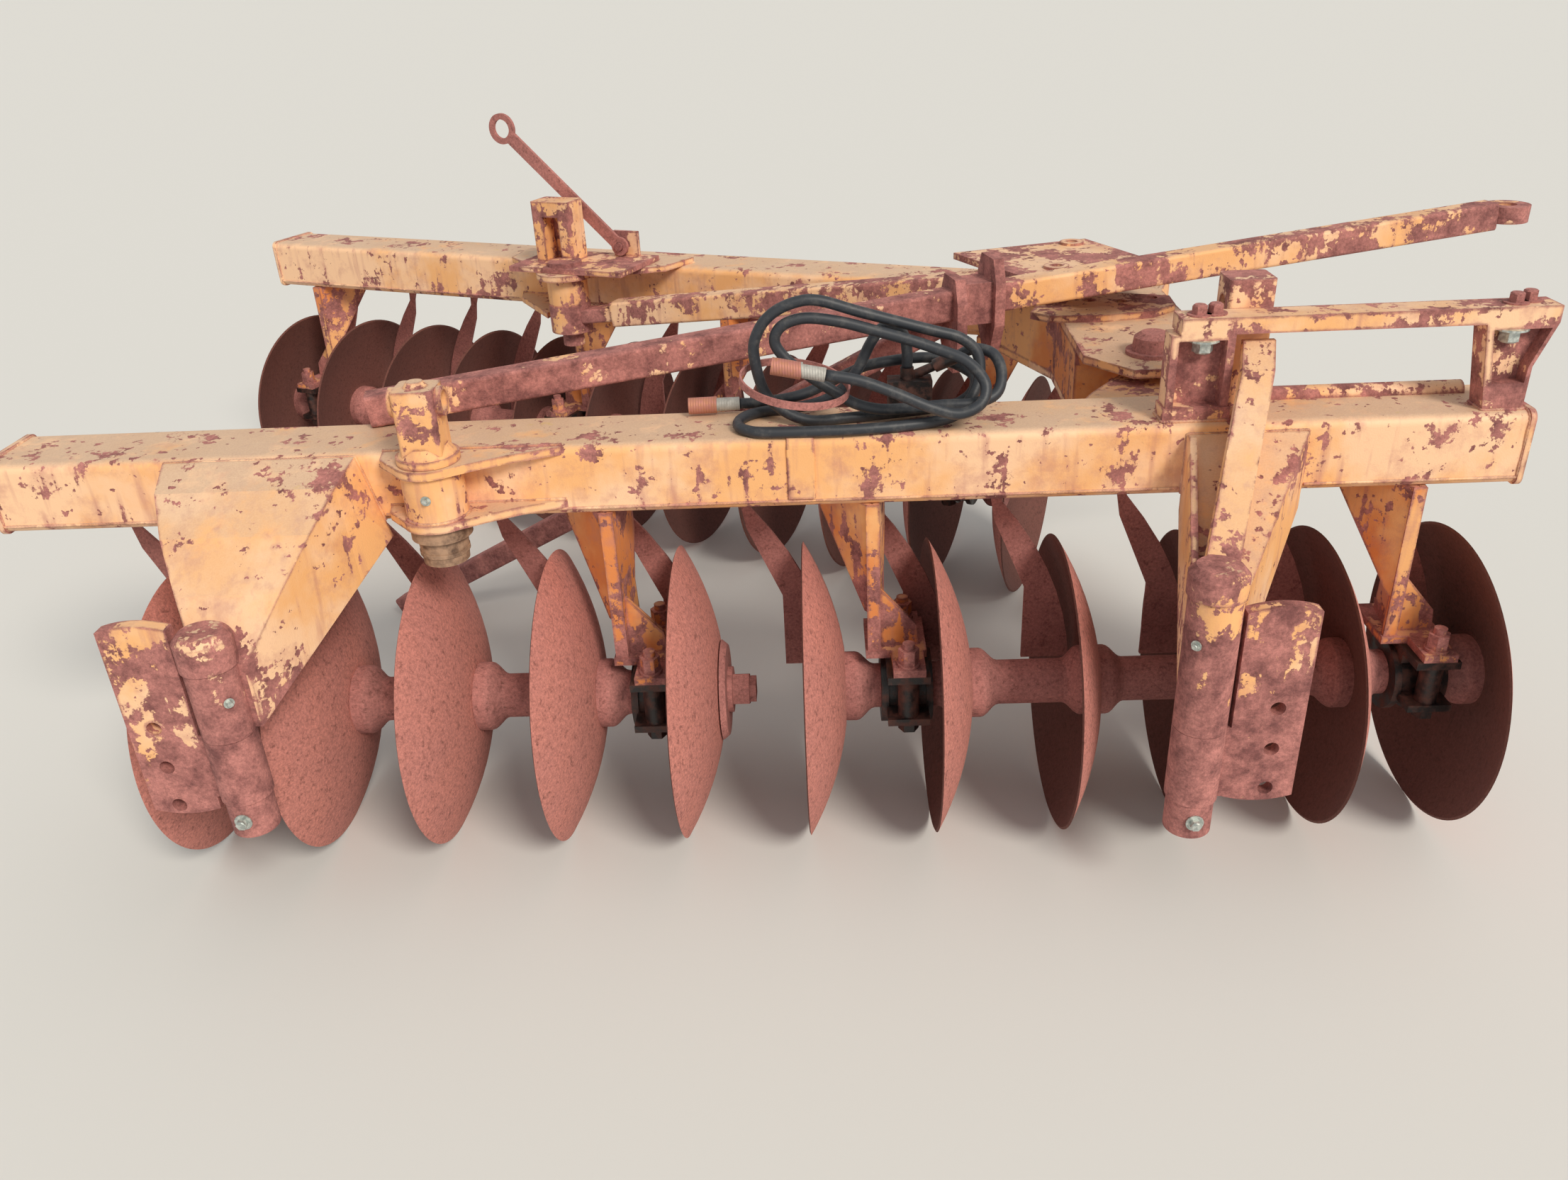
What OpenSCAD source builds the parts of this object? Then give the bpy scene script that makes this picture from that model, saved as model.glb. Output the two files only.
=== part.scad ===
// Offset disc harrow: two box beams in a V, four gangs of dished discs, hinge plates, stowed drawbar.
// Millimetres. X runs along the front beam, Y from the front beam to the rear beam, Z up from the ground.

/* [Discs] */
// Diameter of a disc
disc_d = 610; // [560:10:660]
// Thickness of the disc's plate
disc_t = 6; // [5:0.5:8]
// Depth of the dish
dish = 78; // [60:2:95]
// Flat middle that the spools clamp
hub_flat_d = 160; // [150:5:180]
// Distance from disc to disc along a gang
disc_pitch = 256; // [240:2:280]
// Discs on the left gang of a beam
left_discs = 5; // [4:1:5]
// Discs on the right gang of a beam
right_discs = 6; // [5:1:6]

/* [Gang axles] */
// Side of the square axle
axle_sq = 40; // [32:1:44]
// Diameter of a spool's tube
spool_d = 92; // [84:1:100]
// Diameter of a spool's bell end
horn_d = 144; // [130:1:150]
// Diameter of the big washer on a gang's end
end_washer_d = 210; // [190:5:230]
// Outer diameter of a bearing's housing
bearing_d = 150; // [140:2:165]
// Length of a bearing along the axle
bearing_l = 104; // [90:2:120]
// Gap round the spool inside a bearing
running_gap = 0.6; // [0.5:0.1:2]

/* [Beams] */
// Length of each beam
beam_len = 2900; // [2880:10:2960]
// Width of a beam's section
beam_w = 180; // [160:5:200]
// Height of a beam's section
beam_h = 140; // [120:5:150]
// Corner radius of the section
beam_r = 18; // [12:1:24]
// Height of a beam's underside above the ground
beam_z = 732; // [720:2:760]
// Thickness of an end cap
cap_t = 10; // [6:1:14]
// Plan angle between the two beams
v_angle = 22.5; // [20:0.5:25]

/* [Brackets and hinges] */
// Outer diameter of a hinge barrel
barrel_d = 92; // [80:2:100]
// Diameter of a hinge barrel's pin
barrel_pin_d = 45; // [36:1:50]
// Thickness of a swinging hinge plate
leaf_t = 26; // [20:1:32]
// Diameter of the three holes in a hinge plate
leaf_hole_d = 27; // [20:1:30]
// Plate thickness of brackets and gussets
plate_t = 12; // [10:1:16]
// Diameter of the pin at the apex
apex_pin_d = 50; // [40:2:60]
// Outer diameter of the bosses on the beams' pivots
boss_d = 115; // [100:5:130]

/* [Drawbar] */
// Width of the drawbar's section
bar_w = 70; // [60:2:80]
// Diameter of the hitch eye's bore
eye_bore_d = 40; // [32:1:50]

/* [Hidden] */

paint = "#E39A58";
paint_dark = "#C9712F";
rust = "#9A5F55";
iron = "#4A3A38";
rubber = "#2E323A";

// The layout is measured from the front gang's axle line and then centred over the machine's footprint
reach_left = -1941.6;
reach_right = 1593;
reach_front = -422;
reach_back = 2294.1;
mid_x = (reach_left + reach_right) / 2;
mid_y = (reach_front + reach_back) / 2;
axle_z = disc_d / 2;
beam_top = beam_z + beam_h;

// Front beam: its left end and its front face
front_x0 = -1610;
front_y0 = -40;
front_yc = front_y0 + beam_w / 2;
// Rim of the first disc of the front gangs
front_rim0 = -1333;
// Rear beam: middle of its left end, and the first rim from there along the beam
rear_x0 = -1805;
rear_y0 = 2070;
rear_rim0 = 30;
// The apex pin, behind the front beam
apex_x = 690;
apex_y = 345;
// Barrels of the two swinging hinge plates
left_barrel_x = -1082;
right_barrel_x = 640;
barrel_y = -372;
// Pivot bosses, before the beams
front_pivot_x = -730;
pivot_out = 44;
rear_pivot_x = 1275;
rear_pivot_out = 172;
// Radius of the dish and of a disc's rim
rim_r = disc_d / 2;
flat_r = hub_flat_d / 2;
dish_r = (pow(rim_r, 2) - pow(flat_r, 2) + pow(dish, 2)) / (2 * dish);
foot_t = 16;
foot_z = axle_z + bearing_d / 2 + foot_t;

module placed() { translate([-mid_x, -mid_y, 0]) children(); }
module rear_frame() { placed() translate([rear_x0, rear_y0, 0]) rotate([0, 0, -v_angle]) children(); }

// A rectangle with round corners, centred
module round_rect(w, h, r) {
    square([w - 2 * r, h], center = true);
    square([w, h - 2 * r], center = true);
    for (sx = [-1, 1], sy = [-1, 1]) translate([sx * (w / 2 - r), sy * (h / 2 - r)]) circle(r, $fn = 32);
}

// A bar of round-cornered section between two points, its section's height upright
module bar_between(a, b, w, h, r) {
    d = b - a;
    run = norm([d[0], d[1]]);
    translate(a) rotate([0, 90 - atan2(d[2], run), atan2(d[1], d[0])])
        rotate([0, 0, 90]) linear_extrude(norm(d)) round_rect(w, h, r);
}

// A hexagon nut or bolt head standing on Z
module hex(across, h) { cylinder(h = h, d = across / cos(30), $fn = 6); }

// Points of a disc's section: sag of the dish at a radius
function sag(r) = r <= flat_r ? 0 : dish_r - sqrt(pow(dish_r, 2) - pow(r, 2)) - flat_sag;
flat_sag = dish_r - sqrt(pow(dish_r, 2) - pow(flat_r, 2));
rim_sag = sag(rim_r);
dish_steps = 9;
function dish_radii() = [for (i = [0:dish_steps]) flat_r + (rim_r - flat_r) * i / dish_steps];

// A dished disc: hollow side towards -X, the flat's back face at x = 0
module disc() {
    rotate([0, 90, 0]) difference() {
        rotate_extrude($fn = 96) polygon(concat(
            [[0, 0]], [for (r = dish_radii()) [r, -sag(r)]],
            [[rim_r - 5, -sag(rim_r) - disc_t * 0.4]],
            [for (i = [dish_steps - 1:-1:0]) let (r = dish_radii()[i]) [r, -sag(r) - disc_t]],
            [[0, -disc_t]]));
        translate([0, 0, -disc_t - 1]) linear_extrude(disc_t + 2) square(axle_sq + 1, center = true);
    }
}

// Discs of one gang along X; their hollow sides face -X
module disc_row(first, count) {
    for (i = [first:first + count - 1]) translate([rim_sag + i * disc_pitch, 0, axle_z]) disc();
}

// One spool: a tube with a bell at each end, filling the space between two discs
bell_l = 22;
bell_end = 60;
bell_steps = 6;
seat = 0.15;
function bell() = [for (i = [0:bell_steps]) let (t = i / bell_steps)
    [(spool_d + (horn_d - spool_d) * (1 + cos(180 * t)) / 2) / 2, bell_l + (bell_end - bell_l) * t]];
module spool(len) {
    rotate([0, 90, 0]) rotate_extrude($fn = 64) polygon(concat([[0, 0], [horn_d / 2, 0]], bell(),
        [for (i = [bell_steps:-1:0]) [bell()[i][0], len - bell()[i][1]]], [[horn_d / 2, len], [0, len]]));
}

// Square axle of one gang with its spools, end washers and nuts
axle_nut = 62;
axle_nut_h = 34;
axle_over = 70;
module axle_row(first, count) {
    x0 = rim_sag + first * disc_pitch;
    len = (count - 1) * disc_pitch;
    translate([x0, 0, axle_z]) {
        translate([-disc_t - axle_over, -axle_sq / 2, -axle_sq / 2])
            cube([len + disc_t + 2 * axle_over, axle_sq, axle_sq]);
        for (i = [0:count - 2]) translate([i * disc_pitch + seat, 0, 0])
            spool(disc_pitch - disc_t - 2 * seat);
        translate([len + seat, 0, 0]) rotate([0, 90, 0]) {
            cylinder(h = 12, d1 = end_washer_d, d2 = end_washer_d - 20, $fn = 64);
            translate([0, 0, 12]) cylinder(h = 10, d = 96, $fn = 48);
            translate([0, 0, 22]) hex(axle_nut, axle_nut_h);
        }
        translate([-disc_t - seat, 0, 0]) rotate([0, -90, 0]) {
            cylinder(h = 12, d = horn_d, $fn = 48);
            translate([0, 0, 12]) hex(axle_nut, axle_nut_h);
        }
    }
}

// A bearing's place: the middle of the spool that follows disc i
function bearing_x(i) = rim_sag + i * disc_pitch + (disc_pitch - disc_t) / 2;
// Each gang hangs in two bearings
function bearings() = [0, left_discs - 2, left_discs, left_discs + right_discs - 2];

// Cast bearing round the spool: ribs, a top pad, and an ear before and behind with a spacer up to the pad
ear_y = 122;
ear_w = 84;
ear_t = 15;
ear_z = 283;
spacer_d = 42;
spacer_y = 98;
module bearing() {
    ear_in = bearing_d / 2 - 20;
    translate([0, 0, axle_z]) {
        rotate([0, 90, 0]) difference() {
            union() {
                cylinder(h = bearing_l, d = bearing_d - 16, center = true, $fn = 64);
                for (x = [-bearing_l / 2 + 7, 0, bearing_l / 2 - 7])
                    translate([0, 0, x]) cylinder(h = 14, d = bearing_d, center = true, $fn = 64);
                translate([-bearing_d / 2 + 6, 0, 0]) cube([28, 120, bearing_l - 20], center = true);
            }
            cylinder(h = bearing_l + 2, d = spool_d + 2 * running_gap, center = true, $fn = 64);
        }
        translate([-ear_w / 2, -ear_y, bearing_d / 2]) cube([ear_w, 2 * ear_y, foot_t]);
    }
    for (s = [-1, 1]) {
        translate([-ear_w / 2, s * (ear_in + ear_y) / 2 - (ear_y - ear_in) / 2, ear_z])
            cube([ear_w, ear_y - ear_in, ear_t]);
        translate([0, s * spacer_y, ear_z + ear_t])
            cylinder(h = axle_z + bearing_d / 2 - ear_z - ear_t, d = spacer_d, $fn = 32);
        translate([0, s * spacer_y, ear_z - 20]) hex(36, 20);
    }
}

// Hanger: an upright front flange to one side of the bearing, a web that spreads back to each side, a gusset
// down to the foot plate, and the two stacks of bolt, washer and nut
flange_x = -65;
flange_w = 26;
web_back = 100;
left_web_reach = 110;
left_web_foot = 500;
right_web_reach = 18;
gusset_z = 540;
gusset_out = 92;
flange_drop = 1;
web_in = 4;
stack_h = 49;
module hanger(y_front) {
    h = beam_z - foot_z - flange_drop;
    deep = web_back - y_front - web_in;
    left_run = norm([left_web_reach, deep]);
    right_run = norm([right_web_reach, deep]);
    translate([flange_x - flange_w / 2, y_front, foot_z]) cube([flange_w, plate_t, h]);
    translate([flange_x - flange_w / 2 + plate_t / 2 + 1, y_front + web_in, 0])
        rotate([90, 0, atan2(deep, -left_web_reach)]) linear_extrude(plate_t, center = true)
            polygon([[0, beam_z], [left_run, beam_z], [12, left_web_foot], [0, left_web_foot]]);
    translate([flange_x + flange_w / 2 - plate_t / 2 - 1, y_front + web_in, 0])
        rotate([90, 0, atan2(deep, right_web_reach)]) linear_extrude(plate_t, center = true)
            polygon([[0, beam_z], [right_run, beam_z], [right_run, 640], [right_run - 34, gusset_z],
                [right_run - 20, foot_z + 4], [0, foot_z + 4]]);
    translate([flange_x, y_front + 22 + plate_t, 0]) rotate([90, 0, 0]) linear_extrude(plate_t)
        polygon([[8, gusset_z], [14, gusset_z], [gusset_out - 6, foot_z + 60], [gusset_out, foot_z + 4],
            [8, foot_z + 4]]);
    translate([flange_x - flange_w / 2 - 4, y_front - 4, foot_z])
        cube([gusset_out + 30, web_back - y_front, foot_t]);
    translate([-31, -ear_y, foot_z]) cube([64, 2 * ear_y, foot_t]);
    for (s = [-1, 1]) translate([0, s * spacer_y, foot_z + foot_t]) {
        cylinder(h = 6, d = 46, $fn = 32);
        translate([0, 0, 6]) hex(36, stack_h - 18);
        cylinder(h = stack_h, d = 24, $fn = 24);
    }
}

// Scraper: one upright plate behind the axle, an arm from under the beam and a blade whose edge follows
// the dish
scraper_y = 130;
scraper_t = 8;
blade_low = 285;
blade_high = 552;
blade_left = -48;
blade_gap = 8;
blade_open = 28;
blade_steps = 5;
function dish_edge(z) = let (up = (z - blade_low) / (blade_high - blade_low))
    rim_sag - disc_t - sag(norm([scraper_y + scraper_t, z - axle_z])) - blade_gap - blade_open * up;
module scraper(x_rim) {
    arm = [[-65, 607], [-106, 661], [-112, beam_z], [-152, beam_z], [-125, 664], [-116, 614],
        [blade_left, 455]];
    translate([x_rim, scraper_y + scraper_t, 0]) rotate([90, 0, 0]) linear_extrude(scraper_t) polygon(concat(
        [[blade_left, blade_low]],
        [for (i = [0:blade_steps]) let (z = blade_low + (blade_high - blade_low) * i / blade_steps)
            [dish_edge(z), z]],
        arm));
    translate([x_rim - 160, scraper_y - 12, beam_z - 10]) cube([56, 20, 10]);
}

// A box beam along X with a cap on each end that stands a little proud
cap_out = 4;
module beam(len) {
    rotate([90, 0, 90]) translate([0, beam_z + beam_h / 2]) {
        translate([0, 0, cap_t]) linear_extrude(len - 2 * cap_t) round_rect(beam_w, beam_h, beam_r);
        for (z = [0, len - cap_t]) translate([0, 0, z]) linear_extrude(cap_t)
            round_rect(beam_w + 2 * cap_out, beam_h + 2 * cap_out, beam_r);
    }
}

module front_beam() { color(paint) placed() translate([front_x0, front_yc, 0]) beam(beam_len); }
module rear_beam() { color(paint) rear_frame() beam(beam_len); }

module front_hangers() {
    color(paint_dark) placed()
        for (i = bearings()) translate([front_rim0 + bearing_x(i), 0, 0]) hanger(front_y0);
}
module rear_hangers() {
    color(paint_dark) rear_gang() for (i = bearings())
        translate([bearing_x(i), 0, 0]) hanger(-beam_w / 2 - rear_gang_y);
}
module front_bearings() {
    color(iron) placed() for (i = bearings()) translate([front_rim0 + bearing_x(i), 0, 0]) bearing();
}
// The rear gangs are the front ones mirrored along the beam
rear_mirror = rear_rim0 + (left_discs + right_discs - 1) * disc_pitch;
module rear_gang() { rear_frame() translate([rear_mirror, rear_gang_y, 0]) mirror([1, 0, 0]) children(); }
rear_gang_y = -50;
module rear_bearings() {
    color(iron) rear_gang() for (i = bearings()) translate([bearing_x(i), 0, 0]) bearing();
}

module front_scrapers() {
    color(paint_dark) placed() for (i = [0:left_discs + right_discs - 1])
        scraper(front_rim0 + i * disc_pitch);
}
module rear_scrapers() {
    color(paint_dark) rear_gang() for (i = [0:left_discs + right_discs - 1])
        scraper(i * disc_pitch);
}

module front_left_discs() { color(rust) placed() translate([front_rim0, 0, 0]) disc_row(0, left_discs); }
module front_left_axle() { color(iron) placed() translate([front_rim0, 0, 0]) axle_row(0, left_discs); }
module front_right_discs() {
    color(rust) placed() translate([front_rim0, 0, 0]) disc_row(left_discs, right_discs);
}
module front_right_axle() {
    color(iron) placed() translate([front_rim0, 0, 0]) axle_row(left_discs, right_discs);
}
module rear_right_discs() { color(rust) rear_gang() disc_row(0, left_discs); }
module rear_right_axle() { color(iron) rear_gang() axle_row(0, left_discs); }
module rear_left_discs() { color(rust) rear_gang() disc_row(left_discs, right_discs); }
module rear_left_axle() { color(iron) rear_gang() axle_row(left_discs, right_discs); }

// Hinge barrels: a fixed upper knuckle with cap, pin and collar, and a lower knuckle with the swinging plate
leaf_gap = 1;
leaf_inner = 52;
leaf_outer = 176;
leaf_hole_x = 127;
leaf_hole_step = 84;
// Heights of a hinge from the bottom: collar, lower knuckle, upper knuckle, cap, top
left_z = [272, 346, 480, 620, 686];
right_z = [220, 292, 440, 700, 752];
module barrel_fixed(z) {
    translate([0, 0, z[2]]) cylinder(h = z[3] - z[2], d = barrel_d, $fn = 64);
    translate([0, 0, z[3]]) cylinder(h = z[4] - z[3] - 14, d = barrel_d + 8, $fn = 64);
    translate([0, 0, z[4] - 14]) cylinder(h = 14, d1 = barrel_d + 8, d2 = barrel_d - 16, $fn = 64);
    translate([0, 0, z[0]]) cylinder(h = z[2] - z[0], d = barrel_pin_d, $fn = 48);
    translate([0, 0, z[0]]) cylinder(h = z[1] - z[0] - leaf_gap, d = barrel_d - 8, $fn = 64);
}

// Left bracket: a box that narrows and bends down as it comes forward from the beam to the barrel; its right
// wall slants in towards the top, up to the brow
bracket_left = [-1250, -1106];
bracket_right = [-842, -1022];
bracket_brow = [-884, -1018];
bracket_top = [868, 616];
bracket_low = [702, 484];
bracket_steps = 4;
slab = 8;
function eased(ends, t) = ends[0] + (ends[1] - ends[0]) * pow(t, 1.6);
function even(ends, t) = ends[0] + (ends[1] - ends[0]) * t;
module bracket_slab(t) {
    low = even(bracket_low, t);
    top = eased(bracket_top, t);
    translate([0, even([front_y0, barrel_y + 6 + slab], t), 0]) rotate([90, 0, 0]) linear_extrude(slab)
        polygon([[eased(bracket_left, t), low], [even(bracket_right, t), low],
            [eased(bracket_brow, t), top], [eased(bracket_left, t), top]]);
}
module left_bracket() {
    color(paint) placed() {
        for (i = [1:bracket_steps]) hull() {
            bracket_slab((i - 1) / bracket_steps);
            bracket_slab(i / bracket_steps);
        }
        translate([left_barrel_x, barrel_y, 0]) barrel_fixed(left_z);
    }
}

// Right bracket: a box that closes in from the beam to the barrel, a rib along its left edge, and a T-shaped
// rib down its middle whose flange bends back over the beam
box_x = [674, 884];
box_low = beam_z - 30;
rib_x = 664;
tee_x = 772;
tee_w = 58;
tee_top = beam_top + 104;
tee_rise = 38;
tee_back = 8;
tee_lean = 14;
module right_bracket() {
    z = right_z;
    function rib_end() = [right_barrel_x, barrel_y + 6, z[2] + 16];
    color(paint) placed() {
        hull() {
            translate([box_x[0], front_y0 - slab, box_low])
                cube([box_x[1] - box_x[0], slab, beam_top - beam_r - box_low]);
            translate(rib_end() - [34, -14, 0]) cube([86, slab, z[3] - z[2] - 60]);
        }
        hull() {
            translate([rib_x, front_y0 - 20, box_low]) cube([plate_t, 20, beam_top - beam_r - box_low]);
            translate(rib_end() - [38, 0, 0]) cube([plate_t, slab, z[3] - z[2] - 30]);
        }
        hull() {
            translate([tee_x - plate_t / 2, front_y0 - 12, beam_z]) cube([plate_t, 12, tee_top - beam_z - 4]);
            translate(rib_end() - [plate_t / 2, 0, 0]) cube([plate_t, slab, z[3] - z[2] - 22]);
        }
        hull() {
            translate([tee_x - tee_w / 2, front_y0 - 18, tee_top - plate_t]) cube([tee_w, 12, plate_t]);
            translate([right_barrel_x - tee_w / 2, barrel_y - 2, z[3] - plate_t - 8])
                cube([tee_w, 12, plate_t]);
        }
        hull() {
            translate([tee_x - tee_w / 2, front_y0 - 18, tee_top - plate_t]) cube([tee_w, 12, plate_t]);
            translate([tee_x + tee_lean - tee_w / 2, tee_back - 12, tee_top + tee_rise - plate_t])
                cube([tee_w, 12, plate_t]);
        }
        hull() {
            translate([tee_x - plate_t / 2, front_y0 - 10, beam_top]) cube([plate_t, 10, tee_top - beam_top - 6]);
            translate([tee_x + tee_lean - plate_t / 2, tee_back - 12, beam_top])
                cube([plate_t, 10, tee_top + tee_rise - beam_top - 6]);
        }
        translate([right_barrel_x, barrel_y, 0]) barrel_fixed(z);
    }
}

// A swinging hinge plate with its lower knuckle and three holes; dir is the side that it reaches to. Its top
// is a shallow arc, and its lower outer corner is round.
left_plate_z = [257, 704, 413];
right_plate_z = [249, 676, 392];
leaf_rise = 10;
leaf_corner = 40;
module leaf_shape(bottom, top) {
    w = leaf_outer - leaf_inner;
    arc_r = (pow(w / 2, 2) + pow(leaf_rise, 2)) / (2 * leaf_rise);
    intersection() {
        union() {
            translate([leaf_inner, bottom + leaf_corner]) square([w, top - bottom - leaf_corner]);
            translate([leaf_inner, bottom]) square([w - leaf_corner, leaf_corner + 1]);
            translate([leaf_outer - leaf_corner, bottom + leaf_corner]) circle(leaf_corner, $fn = 48);
        }
        translate([leaf_inner + w / 2, top - arc_r]) circle(arc_r, $fn = 192);
    }
}
module leaf(z, dir, plate_z) {
    difference() {
        union() {
            translate([0, 0, z[1]]) cylinder(h = z[2] - z[1] - leaf_gap, d = barrel_d, $fn = 64);
            translate([0, leaf_t / 2, 0]) rotate([90, 0, 0]) linear_extrude(leaf_t)
                mirror([dir < 0 ? 1 : 0, 0]) {
                leaf_shape(plate_z[0], plate_z[1]);
                translate([barrel_d / 2 - 14, z[1]]) square([leaf_inner, z[2] - z[1] - leaf_gap]);
            }
        }
        translate([0, 0, z[1] - 1]) cylinder(h = z[2] - z[1] + 2, d = barrel_pin_d + 1, $fn = 48);
        for (i = [-1:1]) translate([dir * leaf_hole_x, 0, plate_z[2] + i * leaf_hole_step]) rotate([90, 0, 0])
            cylinder(h = leaf_t + 2, d = leaf_hole_d, center = true, $fn = 32);
    }
}
module left_leaf() {
    color(paint) placed() translate([left_barrel_x, barrel_y, 0]) leaf(left_z, -1, left_plate_z);
}
module right_leaf() {
    color(paint) placed() translate([right_barrel_x, barrel_y, 0]) leaf(right_z, 1, right_plate_z);
}

// Mast: a box post on the front beam, behind the top bar
mast_x = 780;
mast_h = 240;
module mast() {
    color(paint) placed() difference() {
        translate([mast_x, front_y0 + 122, beam_top]) linear_extrude(mast_h) round_rect(84, 76, 8);
        translate([mast_x, front_y0 + 122, beam_top + mast_h - 50]) rotate([0, 90, 0])
            cylinder(h = 200, d = 34, center = true, $fn = 32);
    }
}

// Bar along the top of the beam. On its left it stands on a channel that is open to the front, and on its
// right on a C-shaped bracket with a slanted end.
bar_z = 1032;
bar_t = 30;
bar_y = [-20, 42];
top_bar_x = [640, 1302];
channel_x = [624, 738];
channel_side = 14;
shelf_t = 10;
block_h = 26;
hook_x = [1176, 1272];
hook_lean = 24;
hook_knee = 80;
hook_foot = 50;
module upright(x, w, y, deep, z, h) { translate([x, y, z]) cube([w, deep, h]); }
module top_bar() {
    deep = bar_y[1] - bar_y[0];
    tall = bar_z - beam_top;
    wide = channel_x[1] - channel_x[0];
    color(paint) placed() {
        upright(top_bar_x[0], top_bar_x[1] - top_bar_x[0], bar_y[0], deep, bar_z, bar_t);
        upright(channel_x[0], wide, bar_y[0] + 34, channel_side, beam_top, tall);
        for (x = [channel_x[0], channel_x[1] - channel_side])
            upright(x, channel_side, bar_y[0], 40, beam_top, tall);
        upright(channel_x[0], wide, bar_y[0], 46, bar_z - shelf_t, shelf_t);
        upright(channel_x[0] - 4, wide + 8, bar_y[0] - 4, 54, beam_top, block_h);
        translate([0, bar_y[0] + 50, 0]) rotate([90, 0, 0]) linear_extrude(50) difference() {
            polygon([[hook_x[0] + hook_lean, beam_top], [hook_x[1], beam_top], [hook_x[1], beam_top + hook_knee],
                [hook_x[1] + 30, bar_z], [hook_x[0], bar_z]]);
            polygon([[hook_x[0] + hook_lean + 6, beam_top + hook_foot], [hook_x[1] - 8, beam_top + hook_foot],
                [hook_x[1] - 7, beam_top + hook_knee], [hook_x[1] + 19, bar_z - shelf_t],
                    [hook_x[0] + channel_side, bar_z - shelf_t]]);
        }
        translate([0, bar_y[0] + 44, 0]) rotate([90, 0, 0]) linear_extrude(channel_side)
            polygon([[hook_x[0] + hook_lean + 2, beam_top + 2], [hook_x[1] - 2, beam_top + 2],
                [hook_x[1] - 2, beam_top + hook_knee], [hook_x[1] + 24, bar_z - 4], [hook_x[0] + 6, bar_z - 4]]);
    }
}

// Front pivot: two plates that taper along the beam's front face, with a boss between them
pin_hole_d = 62;
pivot_plate_t = 16;
pivot_nose = 66;
pivot_left = -104;
pivot_right = 236;
pivot_low = beam_z + beam_r;
corner_gap = 0.4;
root_gap = 0.1;
module pivot_plan(boss_y, back) {
    translate([0, boss_y]) circle(pivot_nose, $fn = 64);
    polygon([[pivot_left, back], [pivot_left + 8, boss_y + 10], [-44, boss_y - 49], [44, boss_y - 49],
        [90, boss_y - 20], [150, front_y0 - 32], [pivot_right, front_y0], [pivot_right, back]]);
}
module front_pivot() {
    boss_y = front_y0 - pivot_out;
    back = front_y0 + beam_r - 6;
    span = pivot_right + boss_d;
    color(paint) placed() translate([front_pivot_x, 0, 0]) difference() {
        union() {
            translate([0, 0, pivot_low]) linear_extrude(pivot_plate_t) pivot_plan(boss_y, front_y0);
            translate([0, 0, beam_top - pivot_plate_t]) linear_extrude(pivot_plate_t) pivot_plan(boss_y, back);
            translate([0, boss_y, pivot_low]) cylinder(h = beam_top - pivot_low, d = boss_d, $fn = 64);
        }
        translate([-span, front_y0 - root_gap, pivot_low - 1])
            cube([2 * span, boss_d, beam_top - beam_r - pivot_low + 1]);
        translate([-span, back, pivot_low - 1]) cube([2 * span, boss_d, beam_h]);
        translate([-span, front_y0 + beam_r, beam_top - beam_r]) rotate([0, 90, 0])
            cylinder(h = 2 * span, r = beam_r + corner_gap, $fn = 96);
        translate([0, boss_y, pivot_low - 1]) cylinder(h = beam_h, d = pin_hole_d, $fn = 48);
    }
}
// Rear pivot: one wide plate over the beam's front edge, with a short boss under it
rear_boss_h = 76;
module rear_pivot() {
    boss_y = -beam_w / 2 - rear_pivot_out;
    color(paint) rear_frame() translate([rear_pivot_x, 0, 0]) difference() {
        union() {
            translate([0, 0, beam_top]) linear_extrude(pivot_plate_t) {
                translate([0, boss_y]) circle(84, $fn = 64);
                polygon([[-282, -30], [-262, -150], [-84, boss_y - 10], [84, boss_y - 10], [262, -150],
                    [292, -30]]);
            }
            translate([0, boss_y, beam_top - rear_boss_h]) cylinder(h = rear_boss_h, d = boss_d, $fn = 64);
            translate([0, 0, beam_z + beam_r]) linear_extrude(pivot_plate_t) polygon([[-282, -beam_w / 2],
                [-252, -beam_w / 2 - 52], [-66, boss_y - 24], [-66, -beam_w / 2]]);
        }
        translate([0, boss_y, beam_z - 40]) cylinder(h = beam_h + 80, d = pin_hole_d, $fn = 48);
    }
}

// Greased boot under the front pivot; its flange is cut flat beside the beam
boot_h = 78;
boot_d = [86, 100];
boot_flange_d = 114;
boot_flange_t = 26;
module pivot_boot() {
    color(iron) placed() translate([front_pivot_x, front_y0 - pivot_out, pivot_low - boot_h]) difference() {
        union() {
            cylinder(h = boot_h, d1 = boot_d[0], d2 = boot_d[1], $fn = 48);
            translate([0, 0, boot_h - boot_flange_t]) cylinder(h = boot_flange_t, d = boot_flange_d, $fn = 64);
            translate([0, 0, 18]) cylinder(h = 8, d = boot_d[0] + 8, $fn = 48);
        }
        translate([-boot_flange_d, pivot_out - 1, -1]) cube([2 * boot_flange_d, boot_flange_d, boot_h + 2]);
    }
}

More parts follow.
